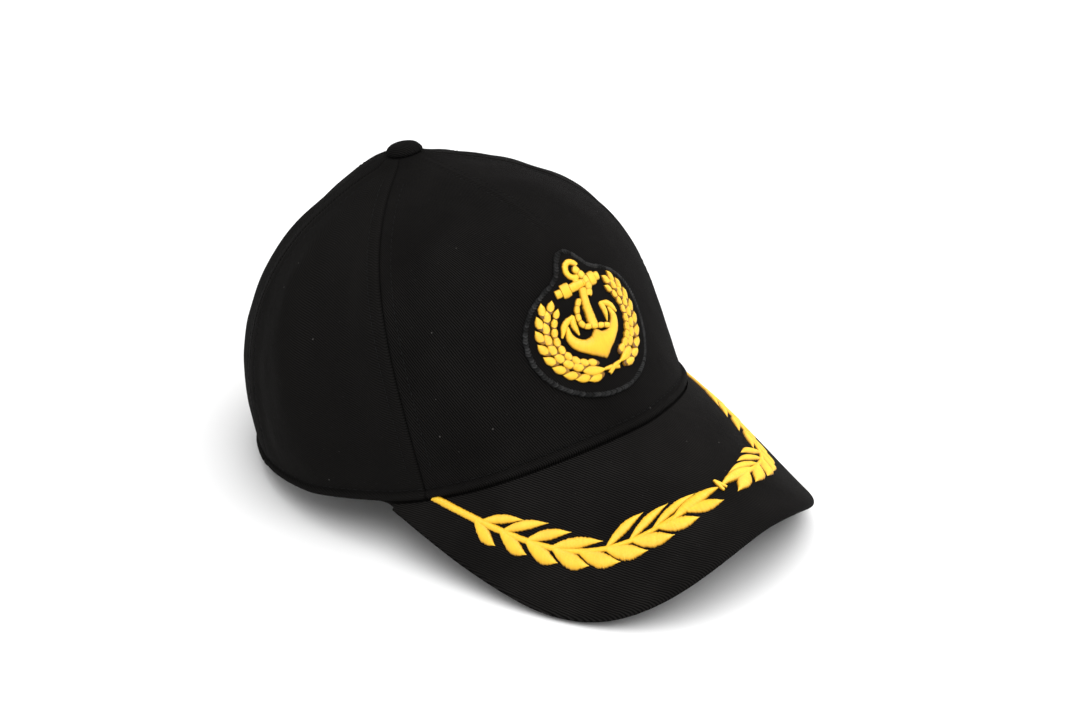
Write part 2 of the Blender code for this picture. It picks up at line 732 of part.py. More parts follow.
def build_visor(parent):
    cover = VISOR_COVER
    under = cover + GAP + VISOR_BOARD + GAP
    whole = under + cover
    inset = cover + GAP
    shares = (0.0, 0.34, 0.68)
    outside = [(share, 0.0, 0.0) for share in shares] + [(1.0, 0.0, 0.0), (1.0, 0.0, whole)]
    inside = [(share, 0.0, cover) for share in shares] + [(1.0, cover, cover), (1.0, cover, whole)]
    add_solid("visor_top_cover", visor_sheet(outside, inside), "black_twill", parent)
    for name, top, bottom, material in (
        ("visor_board", cover + GAP, cover + GAP + VISOR_BOARD, "board"),
        ("visor_under_cover", under, whole, "black_twill"),
    ):
        outside = [(share, 0.0, top) for share in shares] + [(1.0, inset, top)]
        inside = [(share, 0.0, bottom) for share in shares] + [(1.0, inset, bottom)]
        add_solid(name, visor_sheet(outside, inside), material, parent)


def bezier(controls, t):
    weights = ((1 - t) ** 3, 3 * (1 - t) ** 2 * t, 3 * (1 - t) * t * t, t**3)
    x = sum(weight * point[0] for weight, point in zip(weights, controls))
    y = sum(weight * point[1] for weight, point in zip(weights, controls))
    return x * MM, y * MM


def branch_outlines():
    """Stem, paired leaves and end leaf of the branch on the wearer's left."""
    line = [bezier(BRANCH_CURVE, t) for t in spread(0.0, 1.0, 18)]
    outlines = [ribbon(line, [BRANCH_STEM / 2] * len(line))]
    for i in range(BRANCH_PAIRS):
        t = BRANCH_BARE + (0.93 - BRANCH_BARE) * i / BRANCH_PAIRS
        x0, y0 = bezier(BRANCH_CURVE, t)
        x1, y1 = bezier(BRANCH_CURVE, t + 0.01)
        ahead = math.atan2(y1 - y0, x1 - x0)
        for side in (-1.0, 1.0):
            outlines.append(leaf(x0, y0, ahead + side * LEAF_SPREAD, LEAF_LENGTH, LEAF_WIDTH))
    return outlines


def build_visor_branches(parent):
    def place(x, y, side):
        top = Vector((x, y, visor_z(x, y)))
        return top + visor_normal(x, y) * BRANCH_HEIGHTS[side]

    left = branch_outlines()
    right = [[(-x, y) for x, y in outline][::-1] for outline in left]
    spacing = 6.0 * MM
    add_solid("visor_branch_left", merged_plate(left, [], spacing, place), "gold_thread", parent)
    add_solid("visor_branch_right", merged_plate(right, [], spacing, place), "gold_thread", parent)
    knot_y = BRANCH_CURVE[-1][1] * MM
    line = [(0.0, knot_y + share * TIE_HALF_LENGTH) for share in (-1.0, 0.0, 1.0)]
    knot = ribbon(line, [TIE_HALF_WIDTH, TIE_WAIST, TIE_HALF_WIDTH])
    add_solid("visor_tie", merged_plate([knot], [], spacing, place), "gold_thread", parent)


# ---- Badge ----


def badge_axes():
    foot = crown_point(0.0, BADGE_FOOT_LEVEL)
    head = crown_point(0.0, BADGE_HEAD_LEVEL)
    return (foot + head) / 2, (head - foot).normalized()


def badge_point(a, b, height):
    """Lays a flat badge point on the crown: a is to the wearer's left, b is up the front."""
    centre, upward = badge_axes()
    a += BADGE_SHIFT
    theta = a / OPENING_SIDE
    level = (BADGE_FOOT_LEVEL + BADGE_HEAD_LEVEL) / 2 + 6.5 * b
    step = 1e-5
    for _ in range(8):
        here = crown_point(theta, level)
        error_a = here.x - a
        error_b = (here - centre).dot(upward) - b
        turned = (crown_point(theta + step, level) - here) / step
        raised = (crown_point(theta, level + step) - here) / step
        m = Matrix(((turned.x, raised.x), (turned.dot(upward), raised.dot(upward))))
        change = m.inverted() @ Vector((error_a, error_b))
        theta -= change.x
        level -= change.y
    return crown_point(theta, level) + height * crown_normal(theta, level)


def badge_outline(inset, segments):
    """Round patch with a small peak over the anchor's ring, shrunk by an inset."""
    outline = []
    for i in range(segments):
        turn = 2.0 * math.pi * i / segments
        off = math.degrees(min(turn, 2.0 * math.pi - turn))
        peak = math.exp(-((off / BADGE_PEAK_SPREAD) ** 2))
        shoulder = math.exp(-((off / BADGE_SHOULDER_SPREAD) ** 3))
        radius = BADGE_RADIUS + BADGE_SHOULDER * (peak - shoulder) - inset
        outline.append((radius * math.sin(turn), radius * math.cos(turn)))
    return outline[::-1]


def shifted(outline, along):
    return [(x + along, y) for x, y in outline]


def anchor_outlines():
    middle = (ANCHOR_FOOT + ANCHOR_HEAD) / 2
    shank = ribbon([(0.0, ANCHOR_FOOT), (0.0, middle), (0.0, ANCHOR_HEAD)], ANCHOR_SHANK_HALF_WIDTHS)
    stock_line = [(share * ANCHOR_STOCK_HALF_LENGTH, ANCHOR_STOCK_Y) for share in (-1.0, 0.0, 1.0)]
    stock = ribbon(stock_line, ANCHOR_STOCK_HALF_WIDTHS)
    ring = circle(0.0, ANCHOR_RING_Y, ANCHOR_RING_RADII[1], 14)
    steps = 10
    thin, thick = ANCHOR_ARM_HALF_WIDTHS
    arms_line = []
    arms_width = []
    for i, turn in enumerate(spread(ANCHOR_ARM_FROM_SIDE - math.pi, -ANCHOR_ARM_FROM_SIDE, steps)):
        x = ANCHOR_ARM_RADIUS * math.cos(turn)
        y = ANCHOR_ARM_Y + ANCHOR_ARM_RADIUS * math.sin(turn)
        arms_line.append((x, y))
        arms_width.append(thin + (thick - thin) * math.sin(math.pi * i / steps))
    outlines = [shank, stock, ring, ribbon(arms_line, arms_width)]
    for side in (-1.0, 1.0):
        fluke = [(side * x * MM, y * MM) for x, y in ANCHOR_FLUKE]
        outlines.append(fluke if side < 0 else fluke[::-1])
    rope_line = []
    for t in spread(0.0, 1.0, 14):
        x = ROPE_SWAY * math.sin(2.0 * math.pi * t * ROPE_TURNS)
        rope_line.append((x, ROPE_TOP + (ROPE_BOTTOM - ROPE_TOP) * t))
    outlines.append(ribbon(rope_line, [ROPE_HALF_WIDTH] * len(rope_line)))
    return [shifted(outline, ANCHOR_SHIFT) for outline in outlines]


def on_circle(radius, turn):
    return radius * math.cos(turn), radius * math.sin(turn)


def wreath_outlines():
    """Arm of the wreath on the wearer's left: a stem with three leaves at each station."""
    line = [on_circle(WREATH_RADIUS, turn) for turn in spread(WREATH_FOOT, WREATH_HEAD, 12)]
    outlines = [ribbon(line, [WREATH_STEM_HALF_WIDTH] * len(line))]
    for i in range(WREATH_STATIONS):
        share = (i + WREATH_FIRST_STATION) / WREATH_STATIONS
        turn = WREATH_FOOT + (WREATH_HEAD - WREATH_FOOT) * share
        x, y = on_circle(WREATH_RADIUS, turn)
        ahead = turn + math.pi / 2
        for tilt, length in WREATH_LEAVES:
            outlines.append(leaf(x, y, ahead + tilt, length, WREATH_LEAF_WIDTH))
    return outlines


def build_badge(parent):
    def at(heights):
        return lambda a, b, side: badge_point(a, b, heights[side])

    spacing = 7.0 * MM
    segments = 40
    outline = badge_outline(BADGE_BORDER + 2 * GAP, segments)
    backing = merged_plate([outline], [], spacing, at(BADGE_BACKING_HEIGHTS))
    add_solid("badge_backing", backing, "black_lining", parent)
    rim = badge_outline(0.0, segments)
    hole = badge_outline(BADGE_BORDER, segments)
    border = merged_plate([rim], [hole], spacing, at(BADGE_BORDER_HEIGHTS))
    add_solid("badge_border", border, "border_thread", parent)
    spacing = 6.0 * MM
    ring_hole = circle(ANCHOR_SHIFT, ANCHOR_RING_Y, ANCHOR_RING_RADII[0], 10)
    anchor = merged_plate(anchor_outlines(), [ring_hole], spacing, at(BADGE_THREAD_HEIGHTS))
    add_solid("badge_anchor", anchor, "gold_thread", parent)
    left = wreath_outlines()
    right = [[(-x, y) for x, y in shape][::-1] for shape in left]
    for name, shapes in (("badge_wreath_left", left), ("badge_wreath_right", right)):
        shapes = [shifted(shape, WREATH_SHIFT) for shape in shapes]
        wreath = merged_plate(shapes, [], spacing, at(BADGE_THREAD_HEIGHTS))
        add_solid(name, wreath, "gold_thread", parent)


# ---- Strap and buckle ----


def nape_point(angle, height, depth):
    """Point of the nape's cone: angle 0 is straight back and grows to the wearer's left."""
    radius = NAPE_RADIUS - depth - NAPE_CONE * height
    return Vector((radius * math.sin(angle), NAPE_CENTRE_Y + radius * math.cos(angle), height))


def build_strap(parent):
    pivot = add_empty("strap_pivot", parent, (0.0, NAPE_CENTRE_Y, 0.0))
    centre = Vector((0.0, NAPE_CENTRE_Y, 0.0))
    grids = []
    for depth in STRAP_DEPTHS:
        angles = spread(STRAP_RIGHT_END, STRAP_LEFT_END, STRAP_COLUMNS)
        grids.append([[nape_point(a, h, depth) - centre for h in STRAP_HEIGHTS] for a in angles])
    add_solid("strap", sheet(*grids), "black_twill", pivot)


def prism(outline, low, high):
    """Extrudes a flat (x, y) outline along z."""
    mesh = bmesh.new()
    face = mesh.faces.new([mesh.verts.new((x, y, low)) for x, y in outline])
    raised = bmesh.ops.extrude_face_region(mesh, geom=[face])
    moved = [item for item in raised["geom"] if isinstance(item, bmesh.types.BMVert)]
    bmesh.ops.translate(mesh, verts=moved, vec=(0.0, 0.0, high - low))
    return mesh


def add_tool(name, mesh, parent):
    """A hidden shape for a Boolean."""
    tool = add_solid(name, mesh, "steel", parent)
    tool.hide_render = True
    tool.display_type = "WIRE"
    return tool


def combine(solid, tool, operation):
    modifier = solid.modifiers.new(tool.name, "BOOLEAN")
    modifier.object = tool
    modifier.operation = operation


def build_buckle(parent):
    lean = math.atan(NAPE_CONE)
    seat = add_empty("buckle_seat", parent, nape_point(BUCKLE_ANGLE, 0.0, 0.0), (lean, 0.0, -BUCKLE_ANGLE))
    wall_thickness = BUCKLE_SHEET
    channel = [
        (BUCKLE_BOTTOM, BUCKLE_FRONT),
        (BUCKLE_BOTTOM, BUCKLE_BACK),
        (BUCKLE_TOP, BUCKLE_BACK),
        (BUCKLE_TOP, BUCKLE_FRONT),
        (BUCKLE_TOP - wall_thickness, BUCKLE_FRONT),
        (BUCKLE_TOP - wall_thickness, BUCKLE_BACK + wall_thickness),
        (BUCKLE_BOTTOM + wall_thickness, BUCKLE_BACK + wall_thickness),
        (BUCKLE_BOTTOM + wall_thickness, BUCKLE_FRONT),
    ]
    mesh = prism(channel, BUCKLE_RIGHT, BUCKLE_LEFT)
    for vertex in mesh.verts:
        z, y, x = vertex.co
        vertex.co = (x, y, z)
    frame = add_solid("buckle_frame", mesh, "brass", seat)
    sunk = wall_thickness / 2
    bar = prism(circle(BAR_X, BAR_Y, BAR_RADIUS, 12), BUCKLE_BOTTOM + sunk, BUCKLE_TOP - sunk)
    combine(frame, add_tool("buckle_bar_tool", bar, seat), "UNION")
    bore = prism(circle(PIN_X, PIN_Y, PIN_RADIUS + GAP, 14), BUCKLE_BOTTOM - MM, BUCKLE_TOP + MM)
    combine(frame, add_tool("pin_bore_tool", bore, seat), "DIFFERENCE")
    reach = PIN_OVERHANG
    pin = prism(circle(PIN_X, PIN_Y, PIN_RADIUS, 14), BUCKLE_BOTTOM - reach, BUCKLE_TOP + reach)
    add_solid("buckle_pin", pin, "steel", seat)
    build_lever(seat)
    build_loop(parent)


def build_lever(seat):
    """Plate with a barrel round the pin; its far end curls out for a finger."""
    pivot = add_empty("lever_pivot", seat, (PIN_X, PIN_Y, 0.0))
    low = BUCKLE_BOTTOM + BUCKLE_SHEET + GAP
    high = BUCKLE_TOP - BUCKLE_SHEET - GAP
    line = [(x * MM, y * MM) for x, y in LEVER_LINE]
    plate = ribbon(line, [LEVER_PLATE / 2] * len(line))
    barrel = circle(0.0, 0.0, LEVER_BARREL, 16)
    hole = circle(0.0, 0.0, PIN_RADIUS + GAP, 14)

    def place(x, y, side):
        return Vector((x, y, high if side else low))

    mesh = merged_plate([plate, barrel], [hole], 20.0 * MM, place)
    add_solid("buckle_lever", mesh, "brass", pivot)


def build_loop(parent):
    """Short sewn strip that holds the buckle's bar to the back panel."""
    bar = Vector((BAR_X, BAR_Y))
    radius = NAPE_RADIUS + bar.y
    bar_angle = BUCKLE_ANGLE + math.atan2(bar.x, radius)
    bar_depth = NAPE_RADIUS - math.hypot(bar.x, radius)
    eye = circle(bar_angle * NAPE_RADIUS, -bar_depth, BAR_RADIUS + 2 * GAP + LOOP_THICKNESS, 14)
    hole = circle(bar_angle * NAPE_RADIUS, -bar_depth, BAR_RADIUS + 2 * GAP, 12)
    middle = -LOOP_DEPTH - LOOP_THICKNESS / 2
    end = LOOP_END * NAPE_RADIUS
    start = bar_angle * NAPE_RADIUS - BAR_RADIUS - 2 * GAP - LOOP_THICKNESS / 2
    flat_start = start - LOOP_LEAD
    line = [(start, -bar_depth), (start - LOOP_BEND[0], -bar_depth - LOOP_BEND[1])]
    line += [(x, middle) for x in spread(flat_start, end, 3)]
    strip = ribbon(line, [LOOP_THICKNESS / 2] * len(line))

    def place(x, y, side):
        return nape_point(x / NAPE_RADIUS, LOOP_HEIGHTS[side], -y)

    mesh = merged_plate([strip, eye], [hole], 50.0 * MM, place)
    add_solid("buckle_loop", mesh, "black_twill", parent)


def build():
    clear_scene()
    rest = add_empty("cap_rest", None, (0.0, REST_SHIFT, REST_HEIGHT), (-REST_TILT, 0.0, 0.0))
    build_front_panel(rest)
    build_side_panels(rest)
    build_back_panels(rest)
    build_front_stiffener(rest)
    build_seam_tapes(rest)
    build_opening_binding(rest)
    build_sweatband(rest)
    build_button(rest)
    build_visor(rest)
    build_visor_branches(rest)
    build_badge(rest)
    build_strap(rest)
    build_buckle(rest)
    bpy.context.view_layer.update()


build()
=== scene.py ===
"""Visual model of a five-panel fabric cap: cloth, seams, stitching, satin embroidery and brass.

Shapes are designed in the cap's rim frame (origin at the centre of the head opening, -Y the front,
+X the wearer's left, +Z up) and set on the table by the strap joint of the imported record.
Lengths are in metres and angles in radians, unless a comment says millimetres or degrees.
The crown's skin is addressed by theta, the angle from the front towards the wearer's left, and
level, which is 0 at the rim and 1 under the button.
"""

import json
import math

import bpy
import numpy as np
from mathutils import Matrix, Vector


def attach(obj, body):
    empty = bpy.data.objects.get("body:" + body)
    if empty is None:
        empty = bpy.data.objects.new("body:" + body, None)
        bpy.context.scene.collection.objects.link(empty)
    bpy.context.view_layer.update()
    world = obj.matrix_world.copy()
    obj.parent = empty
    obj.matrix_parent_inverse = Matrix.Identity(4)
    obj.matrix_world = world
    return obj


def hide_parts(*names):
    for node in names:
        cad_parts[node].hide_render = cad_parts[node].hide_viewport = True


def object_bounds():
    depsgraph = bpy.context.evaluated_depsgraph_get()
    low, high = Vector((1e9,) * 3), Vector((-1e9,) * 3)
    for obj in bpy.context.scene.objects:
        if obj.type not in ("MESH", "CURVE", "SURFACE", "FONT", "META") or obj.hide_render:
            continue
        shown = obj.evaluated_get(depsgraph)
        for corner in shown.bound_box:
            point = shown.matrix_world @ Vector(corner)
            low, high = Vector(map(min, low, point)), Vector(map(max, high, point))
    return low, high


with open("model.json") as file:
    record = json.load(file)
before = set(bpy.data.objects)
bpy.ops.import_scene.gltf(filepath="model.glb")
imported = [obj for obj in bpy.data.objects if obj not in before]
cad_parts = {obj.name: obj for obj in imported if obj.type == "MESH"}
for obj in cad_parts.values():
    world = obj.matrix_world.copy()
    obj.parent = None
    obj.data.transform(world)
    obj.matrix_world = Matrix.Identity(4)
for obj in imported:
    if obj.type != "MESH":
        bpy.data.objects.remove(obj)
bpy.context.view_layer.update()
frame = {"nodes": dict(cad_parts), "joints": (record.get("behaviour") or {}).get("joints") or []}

MM = 0.001
RAD = math.pi / 180.0
# All threads draw from this one stream, so the order of the build calls is part of the look.
rng = np.random.default_rng(7)

# ---- Measures shared with the CAD part ----

OPENING_BACK = 95.5 * MM
OPENING_FRONT = 108.6 * MM
OPENING_SIDE = 89.2 * MM
OPENING_FRONT_POWER = 1.77
CROWN_TOP = 116.9 * MM
CROWN_TOP_Y = 13.6 * MM
WALL_FRONT = (-0.321, 0.520, 0.972, 0.160)
WALL_SIDE = (0.148, 0.728, 0.584, 0.136)
WALL_BACK = (0.009, 0.519, 0.416, -0.009)
FRONT_SEAM = 53.3 * RAD
FRONT_SEAM_LEAN = 13.8 * RAD
BACK_SEAM = 116.0 * RAD
CLOTH = 1.0 * MM
VISOR_CORNER = 64.0 * RAD
VISOR_ROOT_Z = 18.6 * MM
VISOR_ARCH = 58.8 * MM
VISOR_ARCH_POWER = 1.934
VISOR_ARCH_GROWTH = 2.4
VISOR_SLOPE = 0.632
VISOR_SLOPE_GROWTH = -2.67
VISOR_LENGTH = 60.4 * MM
VISOR_HALF_WIDTH = 82.0 * MM
VISOR_SIDE_POWER = 2.23
VISOR_FRONT_POWER = 2.52
VISOR_THICKNESS = 4.2 * MM
VISOR_COVER = 0.8 * MM
SWEATBAND_HEIGHT = 32.0 * MM
SWEATBAND_END = 153.0 * RAD
SWEATBAND_THICKNESS = 3.0 * MM
ARCH_HALF_ANGLE = 23.7 * RAD
ARCH_HEIGHT = 48.0 * MM
BINDING_WIDTH = 8.0 * MM
NAPE_CENTRE_Y = 12.2 * MM
NAPE_RADIUS = 83.3 * MM
NAPE_CONE = 0.055
STRAP_HEIGHTS = (3.0 * MM, 23.0 * MM)
STRAP_ENDS = (-38.0 * RAD, 40.0 * RAD)
BUTTON_RADIUS = 7.6 * MM
BUTTON_RISE = 3.8 * MM
BUTTON_EDGE = 0.7 * MM
BADGE_FOOT_LEVEL = 0.079
BADGE_HEAD_LEVEL = 0.537
BADGE_SHIFT = -2.2 * MM
BADGE_RADIUS = 30.6 * MM
BADGE_SHOULDER = 8.2 * MM
BADGE_PEAK_SPREAD = 15.0  # degrees
BADGE_SHOULDER_SPREAD = 62.0  # degrees
WREATH_SHIFT = -0.5  # mm
# Control points of the left branch's stem, seen from above, in mm.
BRANCH_CURVE = ((71.3, -59.5), (64.6, -101.6), (51.5, -141.2), (4.5, -144.6))

# ---- Sizes of the cloth relief and the threads ----

ROLL_RADIUS = 1.5 * MM
RIM_STITCH_HEIGHT = 4.3 * MM
SEAM_STITCH_OFFSET = 5.6 * MM
STITCH_PITCH = 3.3 * MM
STITCH_RADIUS = 0.20 * MM
SEAM_GAP = 0.05 * MM
DART_STITCH_OFFSET = 2.6 * MM
HEM_STITCH_OFFSET = 5.2 * MM
BAND_STITCH_HEIGHT = 3.4 * MM
BAND_STITCH_PITCH = 3.1 * MM
THREAD = 0.46 * MM
TWILL_PITCH = 0.92  # mm
# Share of the crown's fall round the button that its cloth makes good.
BUTTON_DRAW = 0.55
# Cloth faces of the strap under the nape's skin: thinner than its solid, to clear the sweatband.
STRAP_DEPTHS = (3.45 * MM, 4.35 * MM)


def rim_frame():
    """Turn and place of the rim frame, from the strap's hinge: its axis is the rim's +Z."""
    hinge = next(j for j in frame["joints"] if j["name"] == "strap_adjust")
    up = Vector(hinge["axis"]).normalized()
    across = Vector((1.0, 0.0, 0.0))
    back = up.cross(across).normalized()
    turn = Matrix((across, back, up)).transposed()
    return turn, Vector(hinge["pos_m"]) - back * NAPE_CENTRE_Y


RIM_TURN, RIM_PLACE = rim_frame()


def to_row(points):
    """Rim-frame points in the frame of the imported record."""
    return points @ np.array(RIM_TURN).T + np.array(RIM_PLACE)


# ---- Surfaces of the crown and the visor ----


def smooth(low, high, value):
    share = np.clip((value - low) / (high - low), 0.0, 1.0)
    return share * share * (3.0 - 2.0 * share)


def bump(value, centre, width):
    return np.exp(-(((value - centre) / width) ** 2))


def unit(vectors):
    return vectors / np.maximum(np.linalg.norm(vectors, axis=-1, keepdims=True), 1e-12)


def stack(*parts):
    return np.stack(np.broadcast_arrays(*parts), axis=-1)


def along(path, axis=0):
    """Running length along a path or along one axis of a grid."""
    steps = np.linalg.norm(np.diff(path, axis=axis), axis=-1)
    start = np.zeros_like(np.take(steps, [0], axis=axis))
    return np.concatenate([start, np.cumsum(steps, axis=axis)], axis=axis)


def rim_xy(theta):
    s, c = np.sin(theta), np.cos(theta)
    length = np.where(c > 0, OPENING_FRONT, OPENING_BACK)
    power = np.where(c > 0, OPENING_FRONT_POWER, 2.0)
    radius = (np.abs(s / OPENING_SIDE) ** power + np.abs(c / length) ** power) ** (-1.0 / power)
    return radius * s, -radius * c


def visor_z(x, y):
    forward = -y - OPENING_FRONT
    arch = VISOR_ARCH * (1.0 + VISOR_ARCH_GROWTH * forward)
    slope = VISOR_SLOPE * forward + VISOR_SLOPE_GROWTH * forward * np.abs(forward)
    return VISOR_ROOT_Z - arch * np.abs(x / VISOR_HALF_WIDTH) ** VISOR_ARCH_POWER - slope


CORNER_X, CORNER_Y = (float(v) for v in rim_xy(np.float64(VISOR_CORNER)))


def rim_z(theta):
    fade = smooth(VISOR_CORNER, VISOR_CORNER + 30.0 * RAD, np.abs(theta))
    behind = visor_z(CORNER_X, CORNER_Y) * (1.0 - fade)
    return np.where(np.abs(theta) < VISOR_CORNER, visor_z(*rim_xy(theta)), behind)


def crown_point(theta, level):
    """Point of the crown's plain skin: level 0 is the rim and level 1 is under the button."""
    theta, level = np.broadcast_arrays(theta, level)
    x, y = rim_xy(theta)
    z = rim_z(theta)
    c = np.cos(theta)
    front = np.where(c > 0, c * c, 0.0)
    back = np.where(c > 0, 0.0, c * c)
    side = 1.0 - front - back
    flare, rise, reach, fall = (
        front * f + side * s + back * b for f, s, b in zip(WALL_FRONT, WALL_SIDE, WALL_BACK)
    )
    rest = 1.0 - level
    w0 = rest**3
    w1 = 3.0 * rest * rest * level
    w2 = 3.0 * rest * level * level
    w3 = level**3
    spread_out = w0 + w1 * (1.0 + flare) + w2 * reach
    height = w0 * z + w1 * (z + rise * CROWN_TOP) + w2 * CROWN_TOP * (1.0 - fall) + w3 * CROWN_TOP
    return stack(x * spread_out, CROWN_TOP_Y + (y - CROWN_TOP_Y) * spread_out, height)


def crown_normal(theta, level):
    step = 1e-4
    around = crown_point(theta + step, level) - crown_point(theta - step, level)
    up = crown_point(theta, level + step) - crown_point(theta, level - step)
    return unit(np.cross(around, up))


def crown_radius(theta, level):
    point = crown_point(theta, level)
    return np.hypot(point[..., 0], point[..., 1] - CROWN_TOP_Y)


TABLE_ANGLES = np.linspace(-math.pi, math.pi, 721)
TABLE_LEVELS = np.linspace(0.0, 1.0, 201)
# Length of the wall from the rim up to each level, for every angle of the table.
WALL = along(crown_point(TABLE_ANGLES[:, None], TABLE_LEVELS[None, :]), axis=1)


def wall_height(theta, level):
    """Length of the wall between the rim and a level."""
    theta, level = np.broadcast_arrays(theta, level)
    turned = (theta + math.pi) % (2.0 * math.pi) / (2.0 * math.pi) * (len(TABLE_ANGLES) - 1)
    climbed = np.clip(level, 0.0, 1.0) * (len(TABLE_LEVELS) - 1)
    i = np.minimum(turned.astype(int), len(TABLE_ANGLES) - 2)
    j = np.minimum(climbed.astype(int), len(TABLE_LEVELS) - 2)
    a, b = turned - i, climbed - j
    low = WALL[i, j] * (1 - b) + WALL[i, j + 1] * b
    high = WALL[i + 1, j] * (1 - b) + WALL[i + 1, j + 1] * b
    return low * (1 - a) + high * a


def climb(theta, distance):
    """Level at a distance up the wall from the rim."""
    theta, distance = np.broadcast_arrays(theta, distance)
    low, high = np.zeros(theta.shape), np.ones(theta.shape)
    for _ in range(22):
        middle = (low + high) / 2
        below = wall_height(theta, middle) < distance
        low = np.where(below, middle, low)
        high = np.where(below, high, middle)
    return (low + high) / 2


def arch_level(theta):
    """Level of the nape opening's edge, or 0 beside the opening."""
    share = np.clip((math.pi - np.abs(theta)) / ARCH_HALF_ANGLE, 0.0, 1.0)
    return np.where(share >= 1.0, 0.0, climb(theta, ARCH_HEIGHT * np.sqrt(1.0 - share * share)))


def front_seam(level):
    return FRONT_SEAM + FRONT_SEAM_LEAN * np.maximum(level, 0.0)


def waves(points, length, seed, count=14):
    """Smooth unevenness between about -1 and 1, from plane waves in space."""
    source = np.random.default_rng(seed)
    total = np.zeros(points.shape[:-1])
    for _ in range(count):
        direction = unit(source.normal(size=3))
        scale = 2.0 * math.pi / (length * source.uniform(0.7, 1.5))
        total += np.sin(points @ direction * scale + source.uniform(0.0, 2.0 * math.pi))
    return total / math.sqrt(count)


def arch_distance(theta, height):
    """Distance from the nape opening's edge, over the skin; negative inside the opening."""
    a = ARCH_HALF_ANGLE
    u = (math.pi - np.abs(theta)) / a
    v = height / ARCH_HEIGHT
    size = np.sqrt(u * u + v * v)
    pull = np.sqrt((u / (a * NAPE_RADIUS)) ** 2 + (v / ARCH_HEIGHT) ** 2)
    return (size - 1.0) * size / np.maximum(pull, 1e-6)


def seam_profile(s, edge_side):
    """Relief across a seam at a signed distance: a closed valley between two padded allowances."""
    raised = np.where(s * edge_side > 0, 0.26, 0.10)
    valley = -0.80 * bump(s, 0.0, 0.55 * MM)
    allowance = raised * bump(np.abs(s), 2.2 * MM, 1.7 * MM)
    row = -0.14 * bump(np.abs(s), SEAM_STITCH_OFFSET, 0.65 * MM)
    return (valley + allowance + row) * MM


def fold(theta, level, start, end, width, rise):
    """Soft ridge along a line between two (degrees, level) points."""
    mid = (start[0] + end[0]) / 2 * RAD
    radius = float(crown_radius(np.float64(mid), np.float64(0.4)))
    length = float(wall_height(np.float64(mid), np.float64(1.0)))
    x = theta * radius
    y = level * length
    x0, y0 = start[0] * RAD * radius, start[1] * length
    x1, y1 = end[0] * RAD * radius, end[1] * length
    dx, dy = x1 - x0, y1 - y0
    span = math.hypot(dx, dy)
    run = ((x - x0) * dx + (y - y0) * dy) / span
    across = ((x - x0) * dy - (y - y0) * dx) / span
    ends = smooth(-0.35 * span, 0.25 * span, run) * (1 - smooth(0.75 * span, 1.35 * span, run))
    return rise * ends * bump(across, 0.0, width)


FOLDS = (
    # (degrees, level) of both ends, width and height
    ((-98.0, 0.62), (-92.0, 0.12), 8.0 * MM, 1.5 * MM),
    ((-72.0, 0.72), (-70.0, 0.24), 4.5 * MM, 1.1 * MM),
    ((-63.0, 0.70), (-61.0, 0.42), 3.5 * MM, 0.8 * MM),
    ((-84.0, 0.50), (-80.0, 0.10), 7.0 * MM, -1.0 * MM),
    ((-112.0, 0.45), (-107.0, 0.08), 7.0 * MM, -0.9 * MM),
    ((96.0, 0.60), (90.0, 0.15), 8.0 * MM, 1.3 * MM),
    ((76.0, 0.52), (72.0, 0.10), 6.0 * MM, 0.8 * MM),
    ((85.0, 0.46), (80.0, 0.08), 7.0 * MM, -0.9 * MM),
    ((-134.0, 0.60), (-129.0, 0.12), 9.0 * MM, 1.3 * MM),
    ((-147.0, 0.66), (-143.0, 0.20), 8.0 * MM, -1.0 * MM),
    ((136.0, 0.58), (130.0, 0.10), 9.0 * MM, 1.4 * MM),
    ((149.0, 0.62), (145.0, 0.22), 8.0 * MM, -0.9 * MM),
)


def creases(theta, level):
    """Soft folds of the side and back panels, which have no stiffener behind them."""
    height = wall_height(theta, level)
    radius = crown_radius(theta, level)
    point = crown_point(theta, level)
    side = (np.abs(theta) - front_seam(level)) * radius
    back = np.abs(np.abs(theta) - BACK_SEAM) * radius
    nape = (math.pi - np.abs(theta)) * radius
    soft = smooth(0.0, 14.0 * MM, side) * smooth(1.5 * MM, 12.5 * MM, back)
    soft = soft * smooth(4.0 * MM, 16.0 * MM, height) * smooth(6.0 * MM, 20.0 * MM, radius)
    soft = soft * smooth(2.0 * MM, 12.0 * MM, nape)
    soft = soft * smooth(2.0 * MM, 14.0 * MM, arch_distance(theta, height))
    total = 0.30 * MM * waves(point * (1.0, 1.0, 0.55), 26.0 * MM, 11)
    for start, end, width, rise in FOLDS:
        total = total + fold(theta, level, start, end, width, rise)
    return total * soft


